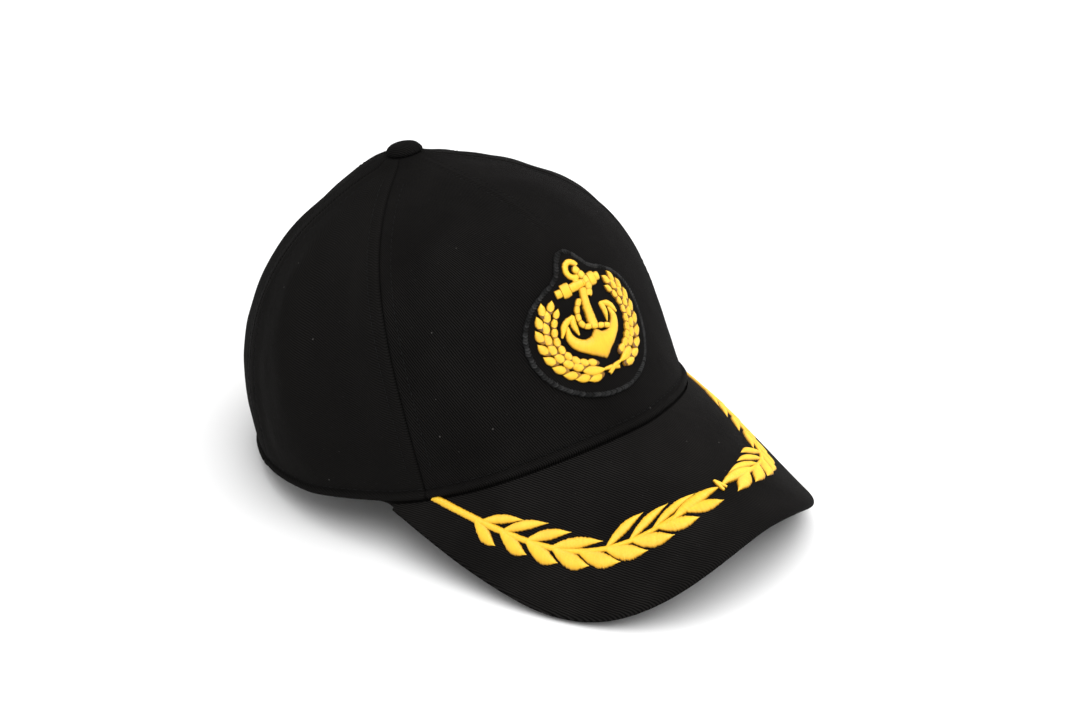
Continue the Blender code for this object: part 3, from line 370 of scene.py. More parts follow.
def relief(theta, level):
    """How far the sewn cloth stands proud of the plain skin."""
    height = wall_height(theta, level)
    radius = crown_radius(theta, level)
    point = crown_point(theta, level)
    near_top = smooth(6.0 * MM, 15.0 * MM, radius)
    total = np.zeros(np.shape(height))
    side = (np.abs(theta) - front_seam(level)) * radius
    total += seam_profile(side, 1.0) * near_top
    total += seam_profile((np.abs(theta) - BACK_SEAM) * radius, -1.0) * near_top
    nape = (math.pi - np.abs(theta)) * radius
    total += seam_profile(nape, 1.0) * near_top
    dart = smooth(BADGE_HEAD_LEVEL + 0.03, BADGE_HEAD_LEVEL + 0.14, level) * near_top
    ridge = 0.24 * MM * bump(theta * radius, 0.0, 1.0 * MM)
    ridge -= 0.12 * MM * bump(np.abs(theta * radius), DART_STITCH_OFFSET, 0.7 * MM)
    total += ridge * dart
    roll = np.clip(1.0 - ((height - ROLL_RADIUS) / ROLL_RADIUS) ** 2, 0.0, 1.0)
    edge = arch_distance(theta, height)
    beside = smooth(-2.0 * MM, 3.0 * MM, edge)
    total += ROLL_RADIUS * np.sqrt(roll) * beside
    total -= 0.35 * MM * bump(height, RIM_STITCH_HEIGHT - 0.5 * MM, 0.8 * MM) * beside
    hem = 0.5 * MM * bump(edge, 2.4 * MM, 2.0 * MM)
    hem = hem - 0.28 * MM * bump(edge, HEM_STITCH_OFFSET, 0.7 * MM)
    total += hem * smooth(120.0 * RAD, 132.0 * RAD, np.abs(theta))
    pull = 0.07 * MM * np.cos(2.0 * math.pi * point[..., 2] / STITCH_PITCH)
    total += pull * bump(np.abs(side), SEAM_STITCH_OFFSET, 1.6 * MM) * near_top
    total += 0.10 * MM * waves(point, 17.0 * MM, 5) * near_top
    drawn_up = 1.0 - smooth(6.0 * MM, 14.0 * MM, radius)
    total += BUTTON_DRAW * (CROWN_TOP - point[..., 2]) * drawn_up
    return total + creases(theta, level)


def skin(theta, level, lift=0.0):
    """Point of the finished cloth, raised by a lift."""
    proud = relief(theta, level) + lift
    return crown_point(theta, level) + crown_normal(theta, level) * proud[..., None]


# ---- Mesh building ----


def shell_faces(rows, columns, wrap=False):
    """Faces of the closed body between two grids; wrap joins the last row to the first."""
    index = np.arange(rows * columns).reshape(rows, columns)
    if wrap:
        index = np.vstack([index, index[:1]])
    under = index + rows * columns
    a, b = index[:-1, :-1], index[1:, :-1]
    c, d = index[1:, 1:], index[:-1, 1:]
    faces = [stack(a, b, c, d).reshape(-1, 4)]
    a, b = under[:-1, :-1], under[1:, :-1]
    c, d = under[1:, 1:], under[:-1, 1:]
    faces.append(stack(a, d, c, b).reshape(-1, 4))
    faces.append(stack(index[1:, 0], index[:-1, 0], under[:-1, 0], under[1:, 0]))
    faces.append(stack(index[:-1, -1], index[1:, -1], under[1:, -1], under[:-1, -1]))
    if not wrap:
        faces.append(stack(index[0, :-1], index[0, 1:], under[0, 1:], under[0, :-1]))
        faces.append(stack(index[-1, 1:], index[-1, :-1], under[-1, :-1], under[-1, 1:]))
    return np.concatenate(faces)


def volume(points, faces):
    """Six times the signed volume inside closed quads, to tell which way they face."""
    a, b, c, d = (points[faces[:, k]] for k in range(4))
    return np.einsum("ij,ij->", a, np.cross(b, c)) + np.einsum("ij,ij->", a, np.cross(c, d))


class Pile:
    """Closed bodies gathered into one mesh, with cloth coordinates, a mask of painted shade and a
    random tone.
    """

    def __init__(self):
        self.points = []
        self.faces = []
        self.cloth = []
        self.edge = []
        self.tone = []
        self.count = 0

    def add(self, points, faces, cloth=None, edge=None, tone=None):
        total = len(points)
        if volume(points, faces) < 0:
            faces = faces[:, ::-1]
        self.points.append(points)
        self.faces.append(faces + self.count)
        self.cloth.append(np.zeros((total, 2)) if cloth is None else cloth)
        self.edge.append(np.zeros(total) if edge is None else edge)
        self.tone.append(np.zeros(total) if tone is None else tone)
        self.count += total

    def shell(self, outer, inner, cloth=None, wrap=False, edge=None, tone=None):
        """Adds the body between two grids. cloth holds millimetres over the outer grid."""
        rows, columns = outer.shape[:2]
        points = np.concatenate([outer.reshape(-1, 3), inner.reshape(-1, 3)])

        def twice(values, *width):
            if values is None:
                return None
            flat = np.broadcast_to(values, (rows, columns, *width)).reshape(-1, *width)
            return np.concatenate([flat, flat])

        if cloth is None:
            cloth = grid_cloth(outer)
        faces = shell_faces(rows, columns, wrap)
        self.add(points, faces, twice(cloth, 2), twice(edge), twice(tone))


def grid_cloth(grid):
    """Cloth coordinates in millimetres, as lengths over a grid from its middle column."""
    u = along(grid, axis=0)
    return stack(u - u[grid.shape[0] // 2], along(grid, axis=1)) / MM


def make(name, pile, material, body, nodes=(), slot=None, sharp=48.0):
    """Turns a pile into a named piece that rides on a body and stands for CAD nodes."""
    data = bpy.data.meshes.new(name)
    points = to_row(np.concatenate(pile.points))
    faces = np.concatenate(pile.faces)
    data.from_pydata(points.tolist(), [], faces.tolist())
    order = np.empty(len(data.loops), dtype=np.int32)
    data.loops.foreach_get("vertex_index", order)
    layer = data.uv_layers.new(name="cloth")
    layer.data.foreach_set("uv", np.concatenate(pile.cloth)[order].astype(np.float32).ravel())
    # edge holds the mask of painted shade that the thread materials read; tone holds a random tone.
    for label, values in (("edge", pile.edge), ("tone", pile.tone)):
        attribute = data.attributes.new(label, "FLOAT", "POINT")
        attribute.data.foreach_set("value", np.concatenate(values).astype(np.float32))
    data.shade_smooth()
    data.set_sharp_from_angle(angle=math.radians(sharp))
    data.materials.append(material)
    piece = bpy.data.objects.new(name, data)
    bpy.context.scene.collection.objects.link(piece)
    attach(piece, body)
    if nodes:
        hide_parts(*nodes)
    return piece


# ---- Materials ----


class Nodes:
    """Short way to write a material's node tree."""

    def __init__(self, name):
        self.material = bpy.data.materials.new(name)
        self.material.use_nodes = True
        self.tree = self.material.node_tree
        self.shader = self.tree.nodes["Principled BSDF"]

    def add(self, kind, **settings):
        node = self.tree.nodes.new(kind)
        for key, value in settings.items():
            setattr(node, key, value)
        return node

    def put(self, socket, value):
        """Links a socket to another node's output, or sets its plain value."""
        if isinstance(value, bpy.types.NodeSocket):
            self.tree.links.new(value, socket)
        elif value is not None:
            socket.default_value = value

    def math(self, operation, a, b=None, c=None, clamp=False):
        node = self.add("ShaderNodeMath", operation=operation, use_clamp=clamp)
        for socket, value in zip(node.inputs, (a, b, c)):
            self.put(socket, value)
        return node.outputs[0]

    def mix(self, share, a, b):
        node = self.add("ShaderNodeMix", data_type="RGBA")
        self.put(node.inputs[0], share)
        self.put(node.inputs[6], a)
        self.put(node.inputs[7], b)
        return node.outputs[2]

    def remap(self, value, low, high, to_low, to_high):
        node = self.add("ShaderNodeMapRange", clamp=True)
        for socket, item in zip(node.inputs, (value, low, high, to_low, to_high)):
            self.put(socket, item)
        return node.outputs[0]

    def attribute(self, name):
        return self.add("ShaderNodeAttribute", attribute_name=name).outputs["Fac"]

    def noise(self, vector, scale, detail=3.0, rough=0.55):
        node = self.add("ShaderNodeTexNoise")
        self.put(node.inputs["Vector"], vector)
        node.inputs["Scale"].default_value = scale
        node.inputs["Detail"].default_value = detail
        node.inputs["Roughness"].default_value = rough
        return node.outputs["Fac"]

    def specks(self, vector, scale, size):
        """1 inside small sparse dots and 0 elsewhere."""
        node = self.add("ShaderNodeTexVoronoi")
        self.put(node.inputs["Vector"], vector)
        node.inputs["Scale"].default_value = scale
        return self.math("LESS_THAN", node.outputs["Distance"], size)

    def cloth_axes(self, angle, wobble=0.0):
        """Cloth coordinates in millimetres, turned by an angle."""
        uv = self.add("ShaderNodeUVMap", uv_map="cloth").outputs[0]
        split = self.add("ShaderNodeSeparateXYZ")
        self.put(split.inputs[0], uv)
        u, v = split.outputs[0], split.outputs[1]
        c, s = math.cos(angle), math.sin(angle)
        a = self.math("ADD", self.math("MULTIPLY", u, c), self.math("MULTIPLY", v, s))
        b = self.math("SUBTRACT", self.math("MULTIPLY", v, c), self.math("MULTIPLY", u, s))
        if wobble:
            shift = self.math("SUBTRACT", self.noise(uv, 0.35, 2.0), 0.5)
            a = self.math("MULTIPLY_ADD", shift, wobble, a)
        return uv, a, b

    def wave(self, value, pitch, offset=0.0):
        turned = self.math("MULTIPLY_ADD", value, 2.0 * math.pi / pitch, offset)
        return self.math("MULTIPLY_ADD", self.math("SINE", turned), 0.5, 0.5)

    def bump(self, height, distance, below=None):
        node = self.add("ShaderNodeBump")
        node.inputs["Strength"].default_value = 1.0
        node.inputs["Distance"].default_value = distance
        self.put(node.inputs["Height"], height)
        if below is not None:
            self.put(node.inputs["Normal"], below)
        return node.outputs[0]

    def finish(self, colour, rough, normal=None, **others):
        self.put(self.shader.inputs["Base Color"], colour)
        self.put(self.shader.inputs["Roughness"], rough)
        if normal is not None:
            self.put(self.shader.inputs["Normal"], normal)
        for key, value in others.items():
            self.put(self.shader.inputs[key.replace("_", " ")], value)
        return self.material

    def place(self):
        return self.add("ShaderNodeTexCoord").outputs["Object"]


def grey(value, warm=0.0):
    """Colour of a grey value, a little warmer for a positive warm."""
    return (value * (1 + warm), value, value * (1 - warm), 1.0)


def twill(name, angle, dark, light, pitch=TWILL_PITCH, depth=0.10, lint=0.5):
    """Cotton twill: slanted ribs of short floats, soft sheen, faint clouding and a little lint.

    pitch is the ribs' spacing and depth their height, in mm.
    """
    n = Nodes(name)
    uv, a, b = n.cloth_axes(angle, 0.5)
    rib = n.wave(a, pitch)
    index = n.math("FLOOR", n.math("DIVIDE", a, pitch))
    floats = n.wave(n.math("MULTIPLY_ADD", index, 0.37 * pitch, b), 1.15 * pitch)
    fine = n.noise(uv, 3.2, 3.0, 0.7)
    height = n.math("MULTIPLY_ADD", floats, 0.22, rib)
    height = n.math("MULTIPLY_ADD", fine, 0.5, height)
    place = n.place()
    cloud = n.remap(n.noise(place, 38.0, 3.0), 0.3, 0.7, 0.0, 1.0)
    # Colour: the ribs' valleys are painted darker, as shade in the grooves; the cloud varies that
    # contrast at random.
    base = n.mix(n.math("MULTIPLY", rib, n.remap(cloud, 0.0, 1.0, 0.65, 1.0)), dark, light)
    base = n.mix(n.remap(fine, 0.55, 0.85, 0.0, 0.35), base, light)
    specks = n.math("MULTIPLY", n.specks(place, 95.0, 0.030), lint)
    threads = n.math("MULTIPLY", n.specks(place, 260.0, 0.045), 0.25 * lint)
    base = n.mix(n.math("ADD", specks, threads, clamp=True), base, grey(0.10, 0.05))
    soft = n.bump(n.noise(uv, 0.16, 3.0), 0.35 * MM)
    normal = n.bump(height, depth * MM, soft)
    rough = n.remap(rib, 0.0, 1.0, 0.95, 0.78)
    return n.finish(base, rough, normal, Sheen_Weight=0.003, Sheen_Roughness=0.5,
                    Sheen_Tint=grey(0.8, 0.02), Specular_IOR_Level=0.02)


def plain_weave(name, dark, light, pitch, depth):
    """Over-and-under weave of threads along both cloth axes, with its pitch and depth in mm."""
    n = Nodes(name)
    uv, a, b = n.cloth_axes(0.0, 0.3)
    weft = n.wave(a, pitch)
    warp = n.wave(b, pitch, math.pi / 2)
    checks = n.math("SUBTRACT", n.wave(a, 2 * pitch), n.wave(b, 2 * pitch))
    height = n.math("ADD", n.math("MAXIMUM", weft, warp), n.math("MULTIPLY", checks, 0.3))
    fine = n.noise(uv, 2.6, 3.0, 0.7)
    height = n.math("MULTIPLY_ADD", fine, 0.4, height)
    # Colour: the lower parts of the weave are painted darker, as shade between the threads.
    share = n.remap(height, 0.3, 1.3, 0.0, 1.0)
    colour = n.mix(share, dark, light)
    colour = n.mix(n.remap(n.noise(n.place(), 60.0), 0.4, 0.75, 0.0, 0.35), colour, dark)
    normal = n.bump(height, depth * MM)
    return n.finish(colour, 0.88, normal, Sheen_Weight=0.15, Specular_IOR_Level=0.25)


def thread(name, bright, deep, dark, rough=0.36, sheen=0.1, gloss=0.5, uneven=0.25):
    """Satin stitches: filaments along each thread, and painted shade that deepens the colour
    towards a shape's edges.
    """
    n = Nodes(name)
    uv = n.add("ShaderNodeUVMap", uv_map="cloth").outputs[0]
    stretch = n.add("ShaderNodeMapping")
    n.put(stretch.inputs["Vector"], uv)
    stretch.inputs["Scale"].default_value = (9.0, 0.7, 1.0)
    strands = n.noise(stretch.outputs[0], 1.0, 2.0, 0.6)
    edge = n.attribute("edge")
    tone = n.attribute("tone")
    # Painted shade: the edge mask deepens the colour towards a shape's sides and in the grooves
    # between threads, and darkens it at outlines and under overlapping shapes.
    share = n.math("POWER", edge, 2.2)
    colour = n.mix(share, bright, deep)
    colour = n.mix(n.math("POWER", edge, 9.0), colour, dark)
    colour = n.mix(n.remap(strands, 0.45, 0.8, 0.0, 0.35), colour, deep)
    cloud = n.remap(n.noise(n.place(), 120.0, 2.0), 0.4, 0.7, 0.0, 0.25)
    colour = n.mix(n.math("MULTIPLY_ADD", tone, uneven, cloud), colour, deep)
    normal = n.bump(strands, 0.05 * MM)
    return n.finish(colour, n.remap(strands, 0.3, 0.7, rough - 0.06, rough + 0.12), normal,
                    Sheen_Weight=sheen, Sheen_Roughness=0.3, Specular_IOR_Level=gloss,
                    Anisotropic=0.4)


def metal(name, bright, dull, rough):
    """Satin metal with fine brushing, tarnish and small dents."""
    n = Nodes(name)
    place = n.place()
    brushed = n.add("ShaderNodeMapping")
    n.put(brushed.inputs["Vector"], place)
    brushed.inputs["Scale"].default_value = (1.0, 1.0, 14.0)
    lines = n.noise(brushed.outputs[0], 420.0, 3.0)
    patches = n.remap(n.noise(place, 170.0, 4.0), 0.42, 0.66, 0.0, 1.0)
    colour = n.mix(patches, bright, dull)
    roughness = n.math("MULTIPLY_ADD", lines, 0.16, n.remap(patches, 0.0, 1.0, rough, rough + 0.2))
    dents = n.bump(n.noise(place, 260.0, 2.0), 0.10 * MM)
    normal = n.bump(lines, 0.02 * MM, dents)
    return n.finish(colour, roughness, normal, Metallic=1.0)


def foam(name):
    """Open-celled foam of the sweatband's pad."""
    n = Nodes(name)
    place = n.place()
    cells = n.add("ShaderNodeTexVoronoi")
    n.put(cells.inputs["Vector"], place)
    cells.inputs["Scale"].default_value = 1400.0
    height = cells.outputs["Distance"]
    colour = n.mix(n.noise(place, 90.0), grey(0.22), grey(0.34))
    return n.finish(colour, 0.95, n.bump(height, 0.2 * MM), Sheen_Weight=0.1)


def moulded_board(name):
    """Moulded resin of the visor's board, with a fine grain."""
    n = Nodes(name)
    place = n.place()
    colour = n.mix(n.noise(place, 45.0), grey(0.05), grey(0.085))
    grain = n.noise(place, 900.0, 3.0)
    return n.finish(colour, n.remap(grain, 0.3, 0.7, 0.45, 0.65), n.bump(grain, 0.05 * MM))


# Blacks of the cloth: the valleys and crests of the ribs on the front, the sides and the visor; the
# valleys are painted darker, as shade in the grooves.
BLACK_DARK = (0.0012, 0.0011, 0.0011, 1.0)
BLACK_LIGHT = (0.0125, 0.0117, 0.0112, 1.0)
BLACK_SOFT = (0.0035, 0.0033, 0.0031, 1.0)
BLACK_PALE = (0.0160, 0.0150, 0.0143, 1.0)
BLACK_DIM = (0.0100, 0.0094, 0.0090, 1.0)

FRONT_TWILL = twill("twill_front", 18 * RAD, BLACK_DARK, BLACK_LIGHT)
SIDE_TWILL = twill("twill_side", 62 * RAD, BLACK_SOFT, BLACK_DIM, depth=0.04)
VISOR_TWILL = twill("twill_visor", 157 * RAD, BLACK_DARK, BLACK_PALE, depth=0.045, lint=0.6)
BADGE_TWILL = twill("twill_badge", 18 * RAD, BLACK_DARK, BLACK_LIGHT, pitch=0.7, depth=0.07)
TAPE_CLOTH = plain_weave("tape_cloth", grey(0.006), grey(0.022), 0.75, 0.09)
BAND_CLOTH = twill("sweatband_cloth", 30 * RAD, grey(0.006), grey(0.020), pitch=1.1, lint=0.3)
GAUZE = plain_weave("buckram_gauze", (0.33, 0.31, 0.27, 1), (0.66, 0.64, 0.58, 1), 1.5, 0.18)
SEWING = thread("sewing_thread", grey(0.010), grey(0.003), grey(0.001), rough=0.75, sheen=0.01,
                gloss=0.05)
# For the gold and the border, the second colour is painted shade towards the edges of the satin
# shapes, mixed with random tone, and the third is painted shade at outlines and overlaps.
GOLD = thread("gold_satin", (0.92, 0.63, 0.032, 1), (0.80, 0.39, 0.008, 1), (0.07, 0.02, 0.001, 1))
BORDER = thread("border_overlock", grey(0.036), grey(0.006), grey(0.001), rough=0.6, sheen=0.02,
                gloss=0.1, uneven=0.95)
BRASS = metal("antique_brass", (0.62, 0.45, 0.20, 1), (0.26, 0.17, 0.075, 1), 0.26)
STEEL = metal("plain_steel", (0.56, 0.56, 0.57, 1), (0.30, 0.29, 0.28, 1), 0.30)
FOAM = foam("foam_pad")
BOARD = moulded_board("visor_board_resin")


# ---- Thread bodies: sewn stitches and satin bands ----


def resample(path, step, *values):
    """Even points along an open path, with values that go with it."""
    lengths = along(path)
    count = max(int(lengths[-1] / step), 2)
    even = np.linspace(0.0, lengths[-1], count + 1)
    points = np.stack([np.interp(even, lengths, path[:, k]) for k in range(path.shape[1])], axis=1)
    return (points, even) + tuple(np.interp(even, lengths, v) for v in values)


def sew(pile, path, normals, pitch=STITCH_PITCH, fill=0.74):
    """Row of short stitches along a path on cloth. Each one dips into the cloth at its ends."""
    lengths = along(path)
    count = int(lengths[-1] / pitch)
    if count < 1:
        return
    shares = np.array([0.0, 0.16, 0.5, 0.84, 1.0])
    sizes = np.array([0.35, 0.9, 1.0, 0.9, 0.35])
    lifts = np.array([-0.65, 0.1, 0.375, 0.1, -0.65]) * STITCH_RADIUS * 1.6
    sides = 6
    turns = np.arange(sides) * 2.0 * math.pi / sides
    jitter = rng.uniform(-0.05, 0.05, count)
    starts = (np.arange(count) + 0.5 * (1 - fill) + jitter) * pitch
    where = starts[:, None] + shares[None, :] * pitch * fill
    centre = np.stack([np.interp(where, lengths, path[:, k]) for k in range(3)], axis=-1)
    up = unit(np.stack([np.interp(where, lengths, normals[:, k]) for k in range(3)], axis=-1))
    ahead = unit(centre[:, -1:] - centre[:, :1])
    across = unit(np.cross(ahead, up))
    centre = centre + up * lifts[None, :, None]
    ring = (
        across[:, :, None] * np.cos(turns)[None, None, :, None]
        + up[:, :, None] * np.sin(turns)[None, None, :, None]
    )
    points = centre[:, :, None] + ring * (sizes * STITCH_RADIUS)[None, :, None, None]
    block = len(shares) * sides
    i, j = np.meshgrid(np.arange(len(shares) - 1), np.arange(sides), indexing="ij")
    k = (j + 1) % sides
    quads = stack(i * sides + j, i * sides + k, (i + 1) * sides + k, (i + 1) * sides + j)
    first = np.array([[0, 5, 4, 3], [0, 3, 2, 1]])
    last = (len(shares) - 1) * sides + np.array([[0, 1, 2, 3], [0, 3, 4, 5]])
    one = np.concatenate([quads.reshape(-1, 4), first, last])
    faces = (one[None] + (np.arange(count) * block)[:, None, None]).reshape(-1, 4)
    tone = np.repeat(rng.uniform(0.0, 1.0, count), block)
    cloth = stack(where[:, :, None] / MM * 0.6, turns[None, None, :]).reshape(-1, 2)
    pile.add(points.reshape(-1, 3), faces, cloth, None, tone)


def sew_line(pile, theta, level, offset=0.0, **settings):
    """Stitches along a line of angles and levels on the crown's cloth."""
    path = skin(theta, level, offset)
    sew(pile, path, crown_normal(theta, level), **settings)


def satin(pile, line, half_width, place, rise=1.1 * MM, skew=0.45, jag=0.07, closed=False,
          base=0.0, pitch=THREAD, ridge=0.055 * MM, edge_power=1.0, tilt=0.0, shade=0.0):
    """Band of satin threads along a flat line; skew slants the threads and jag frays the edge.

    base and rise are the heights of the band's foot and crest. tilt lifts the far end, and shade
    paints shadow on a share of the near end, where another shape overlaps.
    """
    fine, even, width = resample(np.asarray(line, float), pitch / 4, np.asarray(half_width, float))
    if closed:
        fine, even, width = fine[:-1], even[:-1], width[:-1]
    ahead = np.gradient(fine, axis=0)
    if closed:
        ahead[0] = ahead[-1] = fine[1] - fine[-1]
    ahead = unit(ahead)
    side = np.stack([-ahead[:, 1], ahead[:, 0]], axis=1)
    index = (np.arange(len(fine)) + 2) // 4
    jitter = rng.uniform(-1.0, 1.0, (index.max() + 2, 3))
    across = np.sin(np.linspace(-math.pi / 2, math.pi / 2, 11))
    dome = np.sqrt(np.maximum(1.0 - across**2, 0.0))
    ends = np.where(across[None] < 0, jitter[index, 0][:, None], jitter[index, 1][:, None])
    valley = (np.arange(len(fine)) % 4 == 0)[:, None] * 1.0
    reach = width[:, None] * (1.0 + jag * ends - 0.4 * jag * valley)
    spot = fine[:, None] + side[:, None] * (across * reach)[..., None]
    spot = spot + ahead[:, None] * (skew * (np.abs(across) - 0.3) * reach)[..., None]
    high = np.minimum(rise, 0.95 * np.maximum(width, 0.15 * MM))[:, None]
    crest = np.cos(2.0 * math.pi * np.arange(len(fine)) / 4 + math.pi)[:, None]
    share = (even / even[-1])[:len(fine), None]
    lift = base + (high * dome[None] ** 0.8) + ridge * crest * (0.35 + 0.65 * dome[None])
    lift = lift + tilt * share
    outer = place(spot[..., 0], spot[..., 1], lift)
    inner = place(spot[..., 0], spot[..., 1], np.full_like(lift, base - 0.25 * MM))
    cloth = stack(even[:, None] / MM, across[None] * width[:, None] / MM)
    # edge is a mask of painted shade: it grows towards the band's sides, in the grooves between
    # threads and, with shade, on the near end that another shape covers.
    edge = np.broadcast_to(np.abs(across)[None] ** edge_power, lift.shape)
    tone = np.broadcast_to((jitter[index, 2] * 0.5 + 0.5)[:, None], lift.shape)
    edge = np.maximum(edge, 0.75 * valley * np.ones_like(edge))
    if shade:
        edge = np.maximum(edge, 1.0 - smooth(0.85 * shade, 1.15 * shade, share))
    pile.shell(outer, inner, cloth, closed, edge, tone)


def leaf_line(x, y, direction, length, bend=0.0, steps=24):
    """Midrib of a leaf that turns by bend along its length, and the share of each point."""
    t = np.linspace(0.0, 1.0, steps)
    turn = direction + bend * (t - 0.5)
    step = length / (steps - 1)
    dx = np.concatenate([[0.0], np.cumsum(np.cos(turn[:-1]) * step)])
    dy = np.concatenate([[0.0], np.cumsum(np.sin(turn[:-1]) * step)])
    return np.stack([x + dx, y + dy], axis=1), t


def leaf_width(t, width, fullest=0.42, start=0.25, point=0.85):
    """Half-width of a leaf along its length: a rounded base and a pointed tip."""
    rise = np.sin(np.clip(t / fullest, 0, 1) * math.pi / 2)
    fall = np.cos(np.clip((t - fullest) / (1 - fullest), 0, 1) * math.pi / 2) ** point
    shape = np.where(t < fullest, start + (1 - start) * rise, fall)
    return width / 2 * np.maximum(shape, 0.04)


def satin_leaf(pile, x, y, direction, length, width, place, bend=0.0, **settings):
    """Leaf of satin threads; settings go to leaf_width and to satin."""
    line, t = leaf_line(x, y, direction, length, bend)
    shape = {key: settings.pop(key) for key in ("fullest", "start", "point") if key in settings}
    satin(pile, line, leaf_width(t, width, **shape), place, **settings)


# ---- Crown panels ----

# Distances of the grid lines from a seam, and from the rim or the opening's edge.
SEAM_STEPS = np.array([0, 0.15, 0.3, 0.5, 0.75, 1, 1.35, 1.8, 2.3, 2.9, 3.6, 4.3, 4.9, 5.3, 5.7,
                       6.1, 6.7, 7.5, 8.6]) * MM
EDGE_STEPS = np.concatenate([
    ROLL_RADIUS * (1.0 - np.cos(np.linspace(0.0, math.pi, 13))),
    np.array([3.4, 3.8, 4.15, 4.5, 4.9, 5.4, 6.0, 6.8]) * MM,
])
# The cloth below the edge is tucked under: shares of its drop, and how far it is set in.
SKIRT_STEPS = np.array([1.0, 0.6, 0.25, 0.08])
SKIRT_SET = np.array([0.1, 0.1, 0.3, 0.4]) * MM
TOP_LEVEL = 0.985
WALL_LENGTH = 135.0 * MM
CELL = 1.3 * MM


def between(first, last, spacing):
    """Even values strictly between two ends."""
    return np.linspace(first, last, max(int(abs(last - first) / spacing), 1) + 1)[1:-1]


def panel_grid(base_angles, angle_at):
    """Angles and levels of a panel's grid, dense at the rim or the opening's edge."""
    lowest = wall_height(base_angles, arch_level(base_angles))
    low = climb(base_angles[:, None], lowest[:, None] + EDGE_STEPS[None])
    rows = int(WALL_LENGTH / CELL)
    share = np.linspace(0.0, 1.0, rows + 1)[1:]
    high = low[:, -1:] + (TOP_LEVEL - low[:, -1:]) * share[None]
    level = np.concatenate([low, high], axis=1)
    return angle_at(level), level


def build_panel(name, base_angles, angle_at, material):
    """Panel with its sewn relief outside, a plain inside and a lower edge tucked under."""
    theta, level = panel_grid(base_angles, angle_at)
    outer = skin(theta, level)
    normal = crown_normal(theta, level)
    inner = crown_point(theta, level) + normal * (creases(theta, level) - CLOTH)[..., None]
    rim = theta[:, :1]
    hidden = 1.0 - smooth(VISOR_CORNER - 5.0 * RAD, VISOR_CORNER + 3.0 * RAD, np.abs(rim))
    hidden = hidden * (arch_level(rim) <= 0.0)
    drop = (0.4 + 3.8 * hidden) * MM * SKIRT_STEPS[None]
    edge = unit(crown_normal(rim, np.zeros_like(rim)) * (1.0, 1.0, 0.0))
    foot = crown_point(rim, level[:, :1])
    fall = stack(0.0, 0.0, drop)
    skirt_out = foot - edge * SKIRT_SET[None, :, None] - fall
    skirt_in = foot - edge * CLOTH - fall
    outer = np.concatenate([skirt_out, outer], axis=1)
    inner = np.concatenate([skirt_in, inner], axis=1)
    pile = Pile()
    pile.shell(outer, inner)
    return make(name, pile, material, "cap", (name,), "twill", sharp=70.0)


def build_front_panel():
    half = 94.0 * MM
    steps = np.concatenate([SEAM_STEPS, between(SEAM_STEPS[-1], half - 5.0 * MM, CELL),
                            half - np.array([5.0, 4.2, 3.5, 3.0, 2.5, 2.0, 1.5, 1.0, 0.5]) * MM])
    shares = 1.0 - steps / half
    shares = np.concatenate([-shares, [0.0], shares[::-1]])

    def angle_at(level):
        seam = front_seam(level)
        return shares[:, None] * (seam - SEAM_GAP / crown_radius(seam, level))

    build_panel("front_panel", shares * FRONT_SEAM, angle_at, FRONT_TWILL)


def build_side_panels():
    width = 98.0 * MM
    middle = between(SEAM_STEPS[-1], width - SEAM_STEPS[-1], CELL)
    steps = np.concatenate([SEAM_STEPS, middle, width - SEAM_STEPS[::-1]]) / width
    for name, sign in (("side_panel_left", 1.0), ("side_panel_right", -1.0)):
        shares = steps if sign > 0 else steps[::-1]

        def angle_at(level):
            seam = front_seam(level)
            first = seam + SEAM_GAP / crown_radius(seam, level)
            last = BACK_SEAM - SEAM_GAP / crown_radius(BACK_SEAM, level)
            return sign * (first + (last - first) * shares[:, None])

        base = sign * (FRONT_SEAM + (BACK_SEAM - FRONT_SEAM) * shares)
        build_panel(name, base, angle_at, SIDE_TWILL)


def build_back_panels():
    beside = BACK_SEAM + SEAM_STEPS / NAPE_RADIUS
    arch = math.pi - ARCH_HALF_ANGLE * np.cos(np.linspace(0.0, math.pi / 2, 46))
    seam = math.pi - SEAM_STEPS / NAPE_RADIUS
    middle = between(beside[-1], arch[0], CELL / NAPE_RADIUS)
    columns = np.unique(np.concatenate([beside, middle, arch, seam]))
    columns = columns[np.concatenate([[True], np.diff(columns) > 0.1 * MM / NAPE_RADIUS])]
    columns[0] += SEAM_GAP / NAPE_RADIUS
    columns[-1] -= SEAM_GAP / NAPE_RADIUS
    for name, sign in (("back_panel_left", 1.0), ("back_panel_right", -1.0)):
        angles = sign * (columns if sign > 0 else columns[::-1])
        build_panel(name, angles, lambda level: np.broadcast_to(angles[:, None], level.shape),
                    SIDE_TWILL)


SEAMS = {
    "front_left": front_seam,
    "front_right": lambda level: -front_seam(level),
    "side_left": lambda level: BACK_SEAM + 0 * level,
    "side_right": lambda level: -BACK_SEAM + 0 * level,
    "nape": lambda level: math.pi + 0 * level,
}


def opening_line(turn, grow):
    """Angles and levels of an arch that runs a distance outside the nape opening's edge."""
    theta = math.pi - (ARCH_HALF_ANGLE + grow / NAPE_RADIUS) * np.cos(turn)
    theta = np.where(theta > math.pi, theta - 2 * math.pi, theta)
    return theta, climb(theta, (ARCH_HEIGHT + grow) * np.sin(turn))


